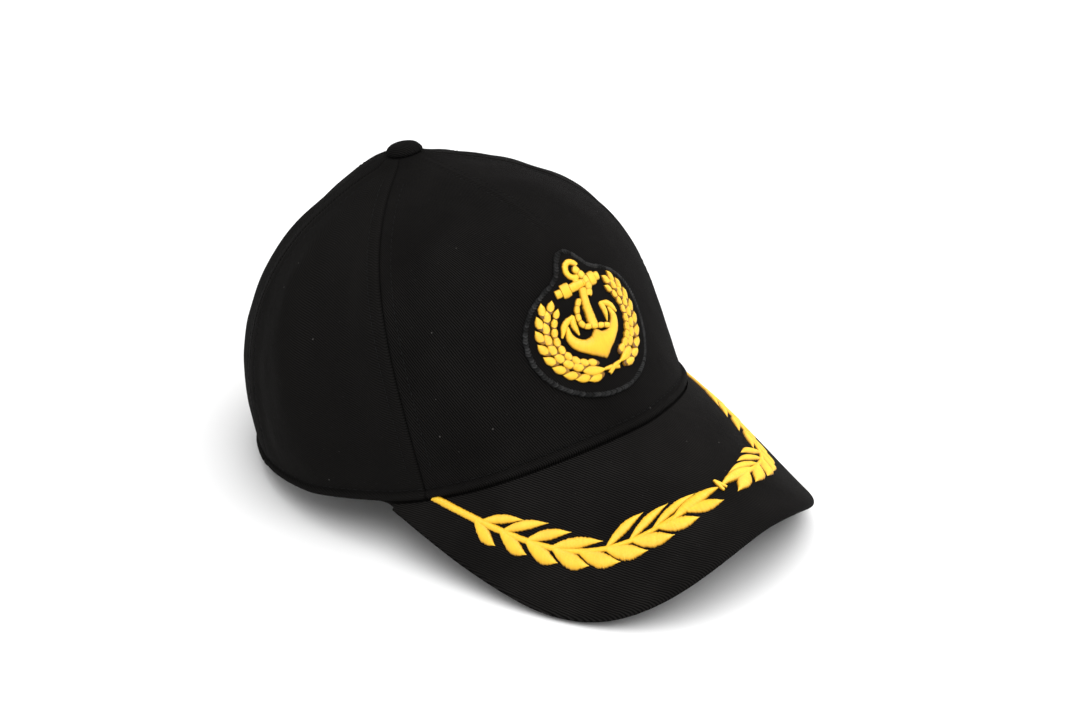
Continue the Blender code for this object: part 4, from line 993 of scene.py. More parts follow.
def build_seam_stitches():
    """Topstitching beside the seams, above the rim's roll and round the nape opening."""
    above_opening = float(climb(np.float64(math.pi), ARCH_HEIGHT + 7.0 * MM))
    for name, seam_at in SEAMS.items():
        pile = Pile()
        level = np.linspace(above_opening if name == "nape" else 0.055, 0.90, 260)
        seam = seam_at(level)
        for side in (-1.0, 1.0):
            sew_line(pile, seam + side * SEAM_STITCH_OFFSET / crown_radius(seam, level), level)
        make("stitches_" + name, pile, SEWING, "cap", (), "twill")
    pile = Pile()
    level = np.linspace(BADGE_HEAD_LEVEL + 0.10, 0.92, 160)
    for side in (-1.0, 1.0):
        theta = side * DART_STITCH_OFFSET / crown_radius(0.0 * level, level)
        sew_line(pile, theta, level, pitch=2.6 * MM)
    make("stitches_dart", pile, SEWING, "cap", (), "twill")
    pile = Pile()
    foot = math.pi - ARCH_HALF_ANGLE - 6.0 * MM / NAPE_RADIUS
    theta = np.linspace(-foot, foot, 1400)
    level = climb(theta, np.full_like(theta, RIM_STITCH_HEIGHT))
    for part in np.split(np.arange(len(theta)), 5):
        sew_line(pile, theta[part], level[part], 0.05 * MM)
    make("stitches_rim", pile, SEWING, "cap", (), "twill")
    pile = Pile()
    sew_line(pile, *opening_line(np.linspace(0.06, math.pi - 0.06, 300), HEM_STITCH_OFFSET))
    make("stitches_opening", pile, SEWING, "cap", (), "twill")


# ---- Layers inside the crown ----


def layer(name, theta, level, depths, material, slot, rows=True):
    """Cloth layer under the crown's skin, with softened long edges."""
    normal = crown_normal(theta, np.maximum(level, 0.0))
    base = crown_point(theta, np.maximum(level, 0.0))
    count = theta.shape[0]
    round_off = np.abs(np.linspace(-1.0, 1.0, count)) ** 10
    thick = depths[1] - depths[0]
    wave = 0.06 * MM * waves(base, 9.0 * MM, 21)
    inner_depth = depths[1] - wave - 0.35 * thick * round_off[:, None]
    outer_depth = depths[0] + 0.25 * thick * round_off[:, None]
    outer = base - normal * outer_depth[..., None]
    inner = base - normal * inner_depth[..., None]
    pile = Pile()
    pile.shell(outer, inner)
    make(name, pile, material, "cap", (name,), slot)
    if rows:
        threads = Pile()
        for k in (1, count - 2):
            sew(threads, inner[k], -normal[k], pitch=2.8 * MM)
        make(name + "_stitches", threads, SEWING, "cap", (), slot)


def tape(name, centre, first=0.002, depths=(1.3 * MM, 1.9 * MM)):
    """Seam tape along a line of the crown, narrower towards the button."""
    level = np.linspace(first, 0.95, 110)
    middle = centre(level)
    radius = crown_radius(middle, level)
    half = np.minimum(6.0 * MM, 0.33 * radius) / radius
    share = np.array([-1.0, -0.93, -0.8, -0.6, -0.3, 0.0, 0.3, 0.6, 0.8, 0.93, 1.0])
    theta = middle[None] + share[:, None] * half[None]
    layer(name, theta, np.broadcast_to(level, theta.shape), depths, TAPE_CLOTH, "lining")


def build_inner_layers():
    """Seam tapes, the front's stiffener and the tape that binds the nape opening."""
    for side in ("front_left", "front_right", "side_left", "side_right"):
        tape("seam_tape_" + side, SEAMS[side])
    start = float(climb(np.float64(math.pi), ARCH_HEIGHT + BINDING_WIDTH + 0.9 * MM))
    tape("seam_tape_back", SEAMS["nape"], start)
    tape("dart_tape", lambda level: 0 * level, BADGE_HEAD_LEVEL - 0.03, (2.3 * MM, 2.8 * MM))
    level = np.linspace(0.0, 0.88, 100)
    share = np.linspace(-1.0, 1.0, 120)
    seam = front_seam(level)
    inset = 6.6 * MM / crown_radius(seam, level)
    theta = share[:, None] * (seam - inset)[None]
    layer("front_stiffener", theta, np.broadcast_to(level, theta.shape), (1.3 * MM, 2.0 * MM),
          GAUZE, "buckram", rows=False)
    turn = np.linspace(0.0, math.pi, 150)
    grow = np.array([0.3, 0.6, 1.0, 1.7, 3.0, 4.5, 6.0, 7.0, 7.5, 8.0]) * MM
    theta, level = opening_line(turn[None], grow[:, None])
    layer("opening_binding", theta, level, (1.7 * MM, 2.3 * MM), TAPE_CLOTH, "lining")


def band_depth(theta):
    """Depth of the sweatband's wall side: it stands further in beside the strap."""
    return 2.4 * MM + 4.0 * MM * smooth(100.0 * RAD, 126.0 * RAD, np.abs(theta))


def build_sweatband():
    """Band folded over its pad: wall side up, round the fold, and down the head side."""
    high = SWEATBAND_HEIGHT
    whole = SWEATBAND_THICKNESS
    half = whole / 2
    turns = np.linspace(0.0, math.pi, 11)
    up = np.linspace(0.0, high - half, 14)
    heights = np.concatenate([[-1.0 * MM], up, high - half + half * np.sin(turns[1:-1]), up[::-1],
                              [-1.0 * MM]])
    puff = 0.75 * MM * np.sin(np.clip(up / (high - half), 0, 1) * math.pi) ** 0.7
    puff = puff - 0.3 * MM * bump(up, BAND_STITCH_HEIGHT, 1.0 * MM)
    depth = np.concatenate([[0.0], 0.0 * up, half - half * np.cos(turns[1:-1]),
                            whole + puff[::-1], [whole]])
    theta = np.linspace(-SWEATBAND_END, SWEATBAND_END, 240)[:, None]
    base_depth = band_depth(theta)
    level = climb(theta, np.maximum(heights, 0.0)[None])
    skin_point = crown_point(theta, level)
    normal = crown_normal(theta, level)
    head_side = (depth > half)[None]
    ripple = 0.22 * MM * waves(skin_point * (1.0, 1.0, 0.5), 15.0 * MM, 31)
    stitches = np.cos(theta * 85.0 * MM / BAND_STITCH_PITCH * 2 * math.pi)
    ripple = ripple + 0.10 * MM * stitches * bump(heights, BAND_STITCH_HEIGHT, 2.5 * MM)
    ripple = ripple * head_side
    below = stack(0.0, 0.0, np.minimum(heights, 0.0))[None]
    outer = skin_point - normal * (base_depth + depth[None] + ripple)[..., None] + below
    inside = np.clip(depth + 0.4 * MM * np.where(depth < half, 1.0, -1.0), 0.4 * MM, None)
    inside = np.where(np.abs(depth - half) < 0.35 * half, depth, inside)
    fold = (heights > high - half)[None] * 0.4 * MM
    inner = skin_point - normal * (base_depth + inside[None] + ripple)[..., None]
    inner = inner + below - stack(0.0, 0.0, fold)
    pile = Pile()
    pile.shell(outer, inner)
    make("sweatband_cover", pile, BAND_CLOTH, "cap", ("sweatband_cover",), "sweatband")
    threads = Pile()
    angles = theta[:, 0]
    level = climb(angles, np.full_like(angles, BAND_STITCH_HEIGHT))
    normal = crown_normal(angles, level)
    deep = band_depth(angles) + whole + 0.15 * MM
    path = crown_point(angles, level) - normal * deep[:, None]
    sew(threads, path, -normal, pitch=BAND_STITCH_PITCH)
    make("sweatband_stitches", threads, SEWING, "cap", (), "sweatband")


# ---- Button ----


def crown_drop(angles, radius):
    """How far the crown lies below its top at a radius from the button's axis."""
    theta = np.linspace(-math.pi, math.pi, 361)[:-1]
    level = np.linspace(0.85, 1.0, 80)
    wall = crown_point(theta[:, None], level[None])
    reach = np.hypot(wall[..., 0], wall[..., 1] - CROWN_TOP_Y)
    found = np.array([np.interp(-radius, -row, level) for row in reach])
    ring = crown_point(theta, found)
    around = np.arctan2(ring[:, 1] - CROWN_TOP_Y, ring[:, 0])
    return np.interp(angles, around, ring[:, 2] - CROWN_TOP, period=2.0 * math.pi)


def build_button():
    """Covered button: cloth gathered over a dome and tucked under its edge."""
    edge = BUTTON_EDGE
    turns = np.linspace(0.0, math.pi / 2, 22)
    tuck_in = np.array([0.06, 0.25, 0.6, 1.2, 2.0]) * MM
    tuck_height = np.array([0.45, 0.28, 0.18, 0.16, 0.2]) * MM
    radius = np.concatenate([BUTTON_RADIUS * np.sin(turns), BUTTON_RADIUS - tuck_in])
    height = np.concatenate([edge + (BUTTON_RISE - edge) * np.cos(turns), tuck_height])
    angles = np.linspace(0.0, 2.0 * math.pi, 145)[:-1][:, None]
    share = radius[None] / BUTTON_RADIUS
    gather = np.cos(17 * angles + 0.9 * np.sin(3 * angles)) + 0.5 * np.cos(29 * angles + 1.0)
    fold_size = 0.09 * MM * gather * smooth(0.78, 1.0, share)
    sag = 0.06 * MM * np.cos(2 * angles + 0.7) * share
    tucked = np.arange(len(radius)) >= len(turns)
    settle = np.where(tucked, share[0]**2, 0.5 * smooth(0.7, 1.0, share[0]))
    sag = sag + (1.0 - BUTTON_DRAW) * crown_drop(angles, BUTTON_RADIUS) * settle

    def ring(shrink):
        r = radius[None] + fold_size - shrink
        z = height[None] + sag - shrink * np.where(tucked, -0.4, 1.0)[None]
        r = np.maximum(r, 0.02 * MM)
        return stack(r * np.cos(angles), CROWN_TOP_Y + r * np.sin(angles), CROWN_TOP + z)

    outer = ring(0.0)
    run = along(outer, axis=1) / MM
    cloth = stack(run * np.cos(angles), run * np.sin(angles))
    pile = Pile()
    pile.shell(outer, ring(0.45 * MM), cloth, wrap=True)
    make("button_cover", pile, FRONT_TWILL, "cap", ("button_cover",), "twill")


# ---- Visor ----


def visor_edge(turn):
    """Free edge of the visor seen from above, from -90 to 90 degrees of turn."""
    s, c = np.sin(turn), np.cos(turn)
    x = VISOR_HALF_WIDTH * np.sign(s) * np.abs(s) ** (2.0 / VISOR_SIDE_POWER)
    front_y = -OPENING_FRONT - VISOR_LENGTH
    return stack(x, CORNER_Y + (front_y - CORNER_Y) * np.abs(c) ** (2.0 / VISOR_FRONT_POWER))


def visor_normal(x, y):
    step = 1e-5
    slope_x = (visor_z(x + step, y) - visor_z(x - step, y)) / (2 * step)
    slope_y = (visor_z(x, y + step) - visor_z(x, y - step)) / (2 * step)
    return unit(stack(-slope_x, -slope_y, np.ones_like(slope_x)))


def square(vectors):
    """Flat unit vectors turned a quarter turn to the left."""
    return unit(np.stack([-vectors[..., 1], vectors[..., 0]], axis=-1))


def visor_point(turn, share, inset, depth):
    """Point under the visor's top: share 0 is its root at the crown and share 1 its free edge."""
    step = 1e-4
    theta = VISOR_CORNER * turn / (math.pi / 2)
    root = stack(*rim_xy(theta))
    along_root = stack(*rim_xy(theta + step)) - stack(*rim_xy(theta - step))
    along_edge = visor_edge(turn + step) - visor_edge(turn - step)
    root = root - square(along_root) * 0.9 * MM
    edge = visor_edge(turn) + square(along_edge) * np.asarray(inset)[..., None]
    plan = root + (edge - root) * np.asarray(share)[..., None]
    x, y = plan[..., 0], plan[..., 1]
    normal = visor_normal(x, y)
    top = stack(x, y, visor_z(x, y))
    return top - normal * np.asarray(depth)[..., None]


VISOR_TURNS = 89.5 * RAD * np.sin(np.linspace(-math.pi / 2, math.pi / 2, 190))
# Length over the visor's arch for each x, for the cloth coordinates.
VISOR_ACROSS = np.linspace(-90.0, 90.0, 361) * MM
VISOR_ARC = np.cumsum(np.hypot(0.5 * MM, np.gradient(
    visor_z(VISOR_ACROSS, -OPENING_FRONT - VISOR_LENGTH / 2))))


def visor_shell(name, outside, inside, material):
    """Visor layer between two paths of (share, inset, depth) steps."""
    turn = VISOR_TURNS[:, None]
    taper = 1.0 - 0.55 * smooth(76.0 * RAD, 87.0 * RAD, np.abs(turn))
    grids = []
    for path in (outside, inside):
        share, inset, depth = (np.array(column)[None] for column in zip(*path))
        grids.append(visor_point(turn, share + 0 * turn, inset * taper, depth * taper))
    outer, inner = grids
    outer = outer + 0.10 * MM * waves(outer, 30.0 * MM, 41)[..., None] * (0.0, 0.0, 1.0)
    forward = along(outer, axis=1) - outer[:, :1, 1]
    cloth = stack(np.interp(outer[..., 0], VISOR_ACROSS, VISOR_ARC), forward) / MM
    pile = Pile()
    pile.shell(outer, inner, cloth)
    make(name, pile, material, "cap", (name,), "twill")


def build_visor():
    """Top cover that wraps the free edge, under cover inside it, and its row of stitches."""
    whole = VISOR_THICKNESS
    half = whole / 2
    cover = VISOR_COVER
    shares = np.concatenate([np.linspace(0.0, 0.96, 48), [0.975, 0.99, 1.0]])
    turns = np.linspace(0.0, math.pi, 13)[1:]
    small = half - cover
    outside = [(s, half, 0.0) for s in shares]
    outside += [(1.0, half - half * math.sin(t), half - half * math.cos(t)) for t in turns]
    outside += [(1.0, half + grow * MM, whole + sink * MM)
                for grow, sink in ((0.6, 0.0), (1.2, 0.0), (1.8, -0.05), (2.2, -0.3))]
    inside = [(s, half, cover) for s in shares]
    inside += [(1.0, half - small * math.sin(t), half - small * math.cos(t)) for t in turns]
    inside += [(1.0, half + grow * MM, whole - cover) for grow in (0.6, 1.2, 1.8, 2.2)]
    visor_shell("visor_top_cover", outside, inside, VISOR_TWILL)
    shares = np.linspace(0.0, 0.97, 50)
    ends = [(1.0, half + 3.6 * MM), (1.0, half + 3.0 * MM), (1.0, half + 2.5 * MM)]
    steps = [(s, half + 3.6 * MM) for s in shares] + ends
    low = [whole] * len(shares) + [whole, whole - 0.1 * MM, whole - 0.45 * MM]
    outside = [(s, i, d) for (s, i), d in zip(steps, low)]
    inside = [(s, i, whole - cover) for s, i in steps]
    visor_shell("visor_under_cover", outside, inside, SIDE_TWILL)
    pile = Pile()
    turn = 84.0 * RAD * np.sin(np.linspace(-math.pi / 2, math.pi / 2, 700))
    ones = np.ones_like(turn)
    path = visor_point(turn, ones, (half + 5.0 * MM) * ones, whole * ones)
    normal = -visor_normal(path[:, 0], path[:, 1])
    sew(pile, path, normal)
    make("stitches_visor_under", pile, SEWING, "cap", (), "twill")


# ---- Embroidery on the visor ----


def on_visor(x, y, height):
    """Lays flat points on the visor's cloth, seen from above."""
    base = stack(x, y, visor_z(x, y))
    return base + visor_normal(x, y) * np.asarray(height)[..., None]


def bezier(controls, t):
    """Points of a cubic curve with its controls in mm."""
    weights = ((1 - t) ** 3, 3 * (1 - t) ** 2 * t, 3 * (1 - t) * t * t, t**3)
    parts = [sum(w * p[k] for w, p in zip(weights, controls)) * MM for k in (0, 1)]
    return np.stack(parts, axis=-1)


INNER_LEAVES = (
    # place along the stem, spread in degrees, length and width in mm
    (0.155, 18.0, 18.0, 2.5), (0.232, 22.0, 18.8, 2.75), (0.318, 20.0, 18.0, 3.0),
    (0.405, 13.0, 20.5, 3.2), (0.600, 30.5, 18.0, 3.3), (0.685, 25.5, 19.6, 3.2),
    (0.770, 18.0, 22.5, 3.0),
)


def branch_leaf(pile, place, at, side, spread, length, width, bend, **settings):
    """Leaf that leaves the stem at a share of its length and leans to one side of it."""
    here = bezier(BRANCH_CURVE, np.array([at, at + 0.01]))
    ahead = math.atan2(here[1, 1] - here[0, 1], here[1, 0] - here[0, 0])
    lean = ahead + side * spread * RAD
    satin_leaf(pile, here[0, 0], here[0, 1], lean, length * MM, width * MM, place, -side * bend,
               rise=1.05 * MM, skew=0.4, fullest=0.46, point=1.15, jag=0.07, **settings)


def build_branch(name, sign):
    """Stem with leaves that point to the tie: full ones outside, slender ones inside."""
    def place(x, y, height):
        return on_visor(sign * x, y, height)

    pile = Pile()
    line = bezier(BRANCH_CURVE, np.linspace(-0.019, 0.90, 200))
    t = np.linspace(0.0, 1.0, 200)
    stem = 1.05 * MM - 0.25 * MM * smooth(0.12, 0.45, t)
    satin(pile, line, stem, place, rise=1.0 * MM, skew=-0.9)
    count = 9
    for i in range(count):
        share = i / (count - 1)
        branch_leaf(pile, place, 0.135 + 0.72 * share + 0.035 * share**2, 1.0,
                    8.0 + 11.0 * math.exp(-7.3 * share) + 5.0 * share**2,
                    11.4 + 5.3 * min(1.0, 2.0 * share), 4.1 + 1.1 * share, 0.40, start=0.3)
    for at, spread, length, width in INNER_LEAVES:
        branch_leaf(pile, place, at, -1.0, spread, length, width, 0.14, start=0.3)
    start = np.array([24.6, -141.0]) * MM
    reach = np.array([0.4, -144.8]) * MM - start
    satin_leaf(pile, start[0], start[1], math.atan2(reach[1], reach[0]), np.hypot(*reach), 4.4 * MM,
               place, 0.0, rise=1.25 * MM, skew=0.5, fullest=0.42, start=0.3, base=0.1 * MM)
    make(name, pile, GOLD, "cap", (name,), "gold_thread")


def build_visor_embroidery():
    """Two mirrored branches and the short crossed bars that tie them."""
    build_branch("visor_branch_left", 1.0)
    build_branch("visor_branch_right", -1.0)
    pile = Pile()
    for x, y, lean, half in ((-0.4, -144.5, 0.14, 2.8), (0.6, -144.3, -0.35, 2.5)):
        across = np.linspace(-half, half, 30) * MM
        line = np.stack([x * MM + lean * across, y * MM + across], axis=1)
        width = 0.80 * MM * (1.0 - 0.35 * np.abs(across / (half * MM)) ** 4)
        satin(pile, line, width, on_visor, rise=0.75 * MM, base=0.75 * MM, skew=0.2)
    make("visor_tie", pile, GOLD, "cap", ("visor_tie",), "gold_thread")


# ---- Badge ----

BADGE_FOOT = crown_point(np.float64(0.0), np.float64(BADGE_FOOT_LEVEL))
BADGE_HEAD = crown_point(np.float64(0.0), np.float64(BADGE_HEAD_LEVEL))
BADGE_CENTRE = (BADGE_FOOT + BADGE_HEAD) / 2
BADGE_UP = unit(BADGE_HEAD - BADGE_FOOT)


def on_badge(a, b, height):
    """Lays flat badge points on the crown: a is to the wearer's left and b is up the front."""
    a, b = np.broadcast_arrays(a + BADGE_SHIFT, b)
    theta = a / OPENING_SIDE
    level = (BADGE_FOOT_LEVEL + BADGE_HEAD_LEVEL) / 2 + 6.5 * b
    step = 1e-5
    for _ in range(7):
        here = crown_point(theta, level)
        error_a = here[..., 0] - a
        error_b = (here - BADGE_CENTRE) @ BADGE_UP - b
        turned = (crown_point(theta + step, level) - here) / step
        raised = (crown_point(theta, level + step) - here) / step
        m00, m01 = turned[..., 0], raised[..., 0]
        m10, m11 = turned @ BADGE_UP, raised @ BADGE_UP
        scale = m00 * m11 - m01 * m10
        theta = theta - (m11 * error_a - m01 * error_b) / scale
        level = level - (m00 * error_b - m10 * error_a) / scale
    return crown_point(theta, level) + crown_normal(theta, level) * np.asarray(height)[..., None]


def badge_outline(inset, turn):
    """Round patch with a small peak over the anchor's ring, shrunk by an inset."""
    off = np.degrees(np.minimum(turn % (2 * math.pi), 2 * math.pi - turn % (2 * math.pi)))
    peak = np.exp(-((off / BADGE_PEAK_SPREAD) ** 2))
    shoulder = np.exp(-((off / BADGE_SHOULDER_SPREAD) ** 3))
    radius = BADGE_RADIUS + BADGE_SHOULDER * (peak - shoulder) - inset
    return np.stack([radius * np.sin(turn), radius * np.cos(turn)], axis=-1)


# Height of the backing cloth's face over the crown.
BADGE_TOP = 1.05 * MM


def build_badge_base():
    """Backing cloth, slightly uneven, and the overlocked border round it."""
    turn = np.linspace(0.0, 2.0 * math.pi, 181)[:-1]
    rim = badge_outline(1.8 * MM, turn)
    share = np.linspace(0.02, 1.0, 26)
    flat = rim[:, None] * share[None, :, None]
    a, b = flat[..., 0], flat[..., 1]
    swell = 0.12 * MM * waves(stack(a, b, 0 * a), 14.0 * MM, 51)
    outer = on_badge(a, b, BADGE_TOP + swell)
    inner = on_badge(a, b, 0.15 * MM + 0 * a)
    pile = Pile()
    pile.shell(outer, inner, flat / MM, wrap=True)
    make("badge_backing", pile, BADGE_TWILL, "cap", ("badge_backing",), "badge_cloth")
    pile = Pile()
    turn = np.linspace(0.0, 2.0 * math.pi, 721)
    middle = badge_outline(1.15 * MM, turn)
    # edge_power 2 keeps the border's painted shade to its sides, round a lighter core.
    satin(pile, middle, np.full(len(turn), 1.05 * MM), on_badge, rise=1.45 * MM, skew=0.8,
          jag=0.18, closed=True, base=0.35 * MM, pitch=1.25 * MM, ridge=0.26 * MM, edge_power=2.0)
    make("badge_border", pile, BORDER, "cap", ("badge_border",), "border_thread")


def badge_band(pile, points, widths, **settings):
    """Satin band through a few (x, y) points of the badge, in millimetres."""
    points = np.array(points, float)
    t = np.linspace(0.0, 1.0, len(points))
    fine = np.linspace(0.0, 1.0, 12 * len(points))
    line = np.stack([spline(t, points[:, k], fine) for k in (0, 1)], axis=1)
    width = np.interp(fine, np.linspace(0.0, 1.0, len(widths)), widths)
    settings.setdefault("rise", 1.0 * MM)
    satin(pile, line * MM, width * MM, on_badge, base=settings.pop("base", BADGE_TOP), **settings)


def spline(knots, values, where):
    """Smooth curve through values at even knots."""
    count = len(knots) - 1
    slope = np.gradient(values, knots)
    k = np.clip((where * count).astype(int), 0, count - 1)
    h = 1.0 / count
    u = (where - knots[k]) / h
    h00, h10 = 2 * u**3 - 3 * u**2 + 1, u**3 - 2 * u**2 + u
    h01, h11 = -2 * u**3 + 3 * u**2, u**3 - u**2
    return h00 * values[k] + h10 * h * slope[k] + h01 * values[k + 1] + h11 * h * slope[k + 1]


# The anchor stands a little to the wearer's right of the badge's middle, in mm.
ANCHOR_AXIS = -1.4


def rope(pile, knots, beads, half):
    """Rope through (x, y) points of the badge, as a row of short slanted beads."""
    knots = np.array(knots, float)
    t = np.linspace(0.0, 1.0, len(knots))
    even = np.linspace(0.0, 1.0, beads * 10 + 1)
    path = np.stack([spline(t, knots[:, k], even) for k in (0, 1)], axis=1)
    path = resample(path, along(path)[-1] / (beads * 10))[0]
    for k in range(beads):
        part = path[k * 10: k * 10 + 11] * MM
        swell = np.sin(np.linspace(0.52, math.pi - 0.52, len(part))) ** 0.45
        # shade paints a band of shade on each bead's near end, a dark line between beads.
        satin(pile, part, half * MM * swell, on_badge, base=BADGE_TOP + 0.55 * MM, rise=0.95 * MM,
              skew=0.35, jag=0.03, pitch=0.40 * MM, shade=0.11)


def build_anchor():
    """Anchor with a ring, a banded stock, a broad pointed crown, barbed flukes and a rope."""
    pile = Pile()
    ring = np.linspace(0.08, 1.62, 60) * math.pi
    line = np.stack([-0.2 + 2.8 * np.cos(ring), 21.5 + 3.2 * np.sin(ring)], axis=1) * MM
    satin(pile, line, np.full(60, 1.25 * MM), on_badge, base=BADGE_TOP, rise=1.0 * MM, skew=0.3)
    badge_band(pile, ((-0.6, 18.9), (-0.9, 16.6)), (1.5, 1.5), skew=0.2)
    arms = ((-10.6, 2.2), (-11.3, -2.0), (-9.7, -5.4), (-6.7, -7.8), (-3.4, -9.0), (0.0, -9.3),
            (3.4, -9.0), (6.7, -7.8), (9.7, -5.4), (11.3, -2.0), (10.6, 2.2))
    arms = [(ANCHOR_AXIS + x, y) for x, y in arms]
    badge_band(pile, arms, (0.5, 1.75, 2.3, 2.7, 4.0, 6.7, 4.0, 2.7, 2.3, 1.75, 0.5), skew=0.0,
               rise=1.25 * MM, jag=0.03)
    badge_band(pile, ((0.2, 13.4), (-1.0, 7.0), (ANCHOR_AXIS, -2.0)), (1.7, 1.9, 2.25), skew=0.25,
               rise=1.3 * MM, base=BADGE_TOP + 0.15 * MM)
    for side in (-1.0, 1.0):
        tip = (ANCHOR_AXIS + side * 6.9, 5.3)
        outer = (tip, (ANCHOR_AXIS + side * 11.2, 3.3), (ANCHOR_AXIS + side * 14.2, -0.9))
        inner = (tip, (ANCHOR_AXIS + side * 7.9, 1.9), (ANCHOR_AXIS + side * 7.3, -2.8))
        badge_band(pile, outer, (0.5, 1.3, 1.45, 0.5), skew=0.4 * side, rise=0.95 * MM,
                   base=BADGE_TOP + 0.1 * MM)
        badge_band(pile, inner, (0.7, 1.5, 1.2, 0.3), skew=-0.4 * side, rise=0.95 * MM,
                   base=BADGE_TOP + 0.1 * MM)
    for first, last, half in ((-11.4, -9.0, 1.8), (-8.7, -5.2, 3.1), (-4.9, 1.2, 1.95),
                              (1.4, 4.6, 1.95), (4.9, 8.2, 3.0), (8.4, 10.6, 1.9)):
        badge_band(pile, ((first, 15.2), (last, 15.2)), (half * 0.92, half, half * 0.92), skew=0.08,
                   rise=1.15 * MM, jag=0.04)
    rope(pile, ((0.2, 22.2), (1.6, 19.6), (3.0, 16.6), (3.2, 13.2), (1.7, 9.8)), 5, 1.65)
    rope(pile, ((-3.0, 10.2), (-5.6, 7.2), (-6.6, 3.2), (-5.6, -0.2), (-2.3, -1.7), (2.4, -3.2),
                (5.4, -4.4)), 8, 1.25)
    make("badge_anchor", pile, GOLD, "cap", ("badge_anchor",), "gold_thread")


WREATH_ROWS = (
    # radius, lean, leaf length, leaf width, leaves, first angle, last angle (mm and degrees)
    (19.9, 0.0, 6.3, 3.7, 8, -55.0, 31.0),
    (22.1, -0.24, 7.1, 3.6, 9, -76.0, 26.0),
    (17.8, 0.26, 5.6, 3.2, 9, -72.0, 23.0),
)


def build_wreath(name, sign):
    """Arm of the wreath: three close rows of leaves along an arc, and a long leaf at the foot."""
    def place(a, b, height):
        return on_badge(sign * a + WREATH_SHIFT * MM, b, height)

    pile = Pile()
    for radius, lean, length, width, stations, first, last in WREATH_ROWS:
        for i in range(stations):
            share = i / (stations - 1)
            turn = (first + (last - first) * share) * RAD
            r = (radius + 0.45 + 0.15 * sign - 5.5 * (share - 0.45) ** 2) * MM
            near = 1.0 - 0.14 * share
            # shade paints shadow on each leaf's near end, round the tip of the leaf that overlaps
            # it.
            satin_leaf(pile, r * math.cos(turn), r * math.sin(turn), turn + math.pi / 2 + lean,
                       length * near * MM, width * near * MM, place, 0.25,
                       base=BADGE_TOP, rise=0.9 * MM, skew=0.6, start=0.6, fullest=0.4, point=1.15,
                       jag=0.05, tilt=0.45 * MM, shade=0.24)
    r, turn = 19.8 * MM, -79.0 * RAD
    satin_leaf(pile, r * math.cos(turn), r * math.sin(turn), 22.0 * RAD, 9.6 * MM, 4.2 * MM, place,
               0.35, base=BADGE_TOP + 0.35 * MM, rise=1.1 * MM, skew=0.5, start=0.2, fullest=0.55)
    stem = np.array([(3.9, -19.3), (0.8, -19.8), (-2.6, -21.4 - 0.3 * sign)]) * MM
    satin(pile, stem, np.array([0.7, 1.0, 0.8]) * MM, place, rise=0.8 * MM, skew=0.5,
          base=BADGE_TOP + (0.35 + 0.15 * sign) * MM)
    make(name, pile, GOLD, "cap", (name,), "gold_thread")


# ---- Strap and buckle ----


def nape_point(angle, height, depth):
    """Point under the nape's skin, on the cone round the strap's hinge."""
    radius = NAPE_RADIUS - depth - NAPE_CONE * height
    return stack(radius * np.sin(angle), NAPE_CENTRE_Y + radius * np.cos(angle), height)


def build_strap():
    """Folded strap with thicker edges, and its two rows of stitches."""
    low, high = STRAP_HEIGHTS
    rounding = np.array([0.0, 0.15, 0.4, 0.9, 1.6, 2.2, 2.8, 3.6]) * MM
    heights = np.concatenate([low + rounding, between(low + rounding[-1], high - rounding[-1], MM),
                              (high - rounding)[::-1]])
    angles = np.linspace(*STRAP_ENDS, 170)[:, None]
    edge = np.minimum(heights - low, high - heights)
    pad = 0.42 * MM * (1.0 - smooth(0.0, 1.0 * MM, edge))
    pad = pad + 0.16 * MM * bump(edge, 2.2 * MM, 0.5 * MM)
    end = np.minimum(angles - STRAP_ENDS[0], STRAP_ENDS[1] - angles) * NAPE_RADIUS
    pad = pad[None] + 0.35 * MM * (1.0 - smooth(0.0, 0.9 * MM, end))
    wave = 0.05 * MM * waves(nape_point(angles, heights[None], 0.0), 18.0 * MM, 61)
    outer = nape_point(angles, heights[None], STRAP_DEPTHS[0] + pad - wave)
    inner = nape_point(angles, heights[None], STRAP_DEPTHS[1] - 0.8 * pad - wave)
    pile = Pile()
    pile.shell(outer, inner)
    make("strap", pile, SIDE_TWILL, "strap", ("strap",), "twill")
    pile = Pile()
    line = np.linspace(STRAP_ENDS[0] + 0.03, STRAP_ENDS[1] - 0.03, 300)
    normal = stack(np.sin(line), np.cos(line), 0.0 * line)
    for height in (low + 2.2 * MM, high - 2.2 * MM):
        path = nape_point(line, height, STRAP_DEPTHS[0] + 0.1 * MM)
        sew(pile, path, normal, pitch=2.9 * MM)
    make("stitches_strap", pile, SEWING, "strap", (), "twill")


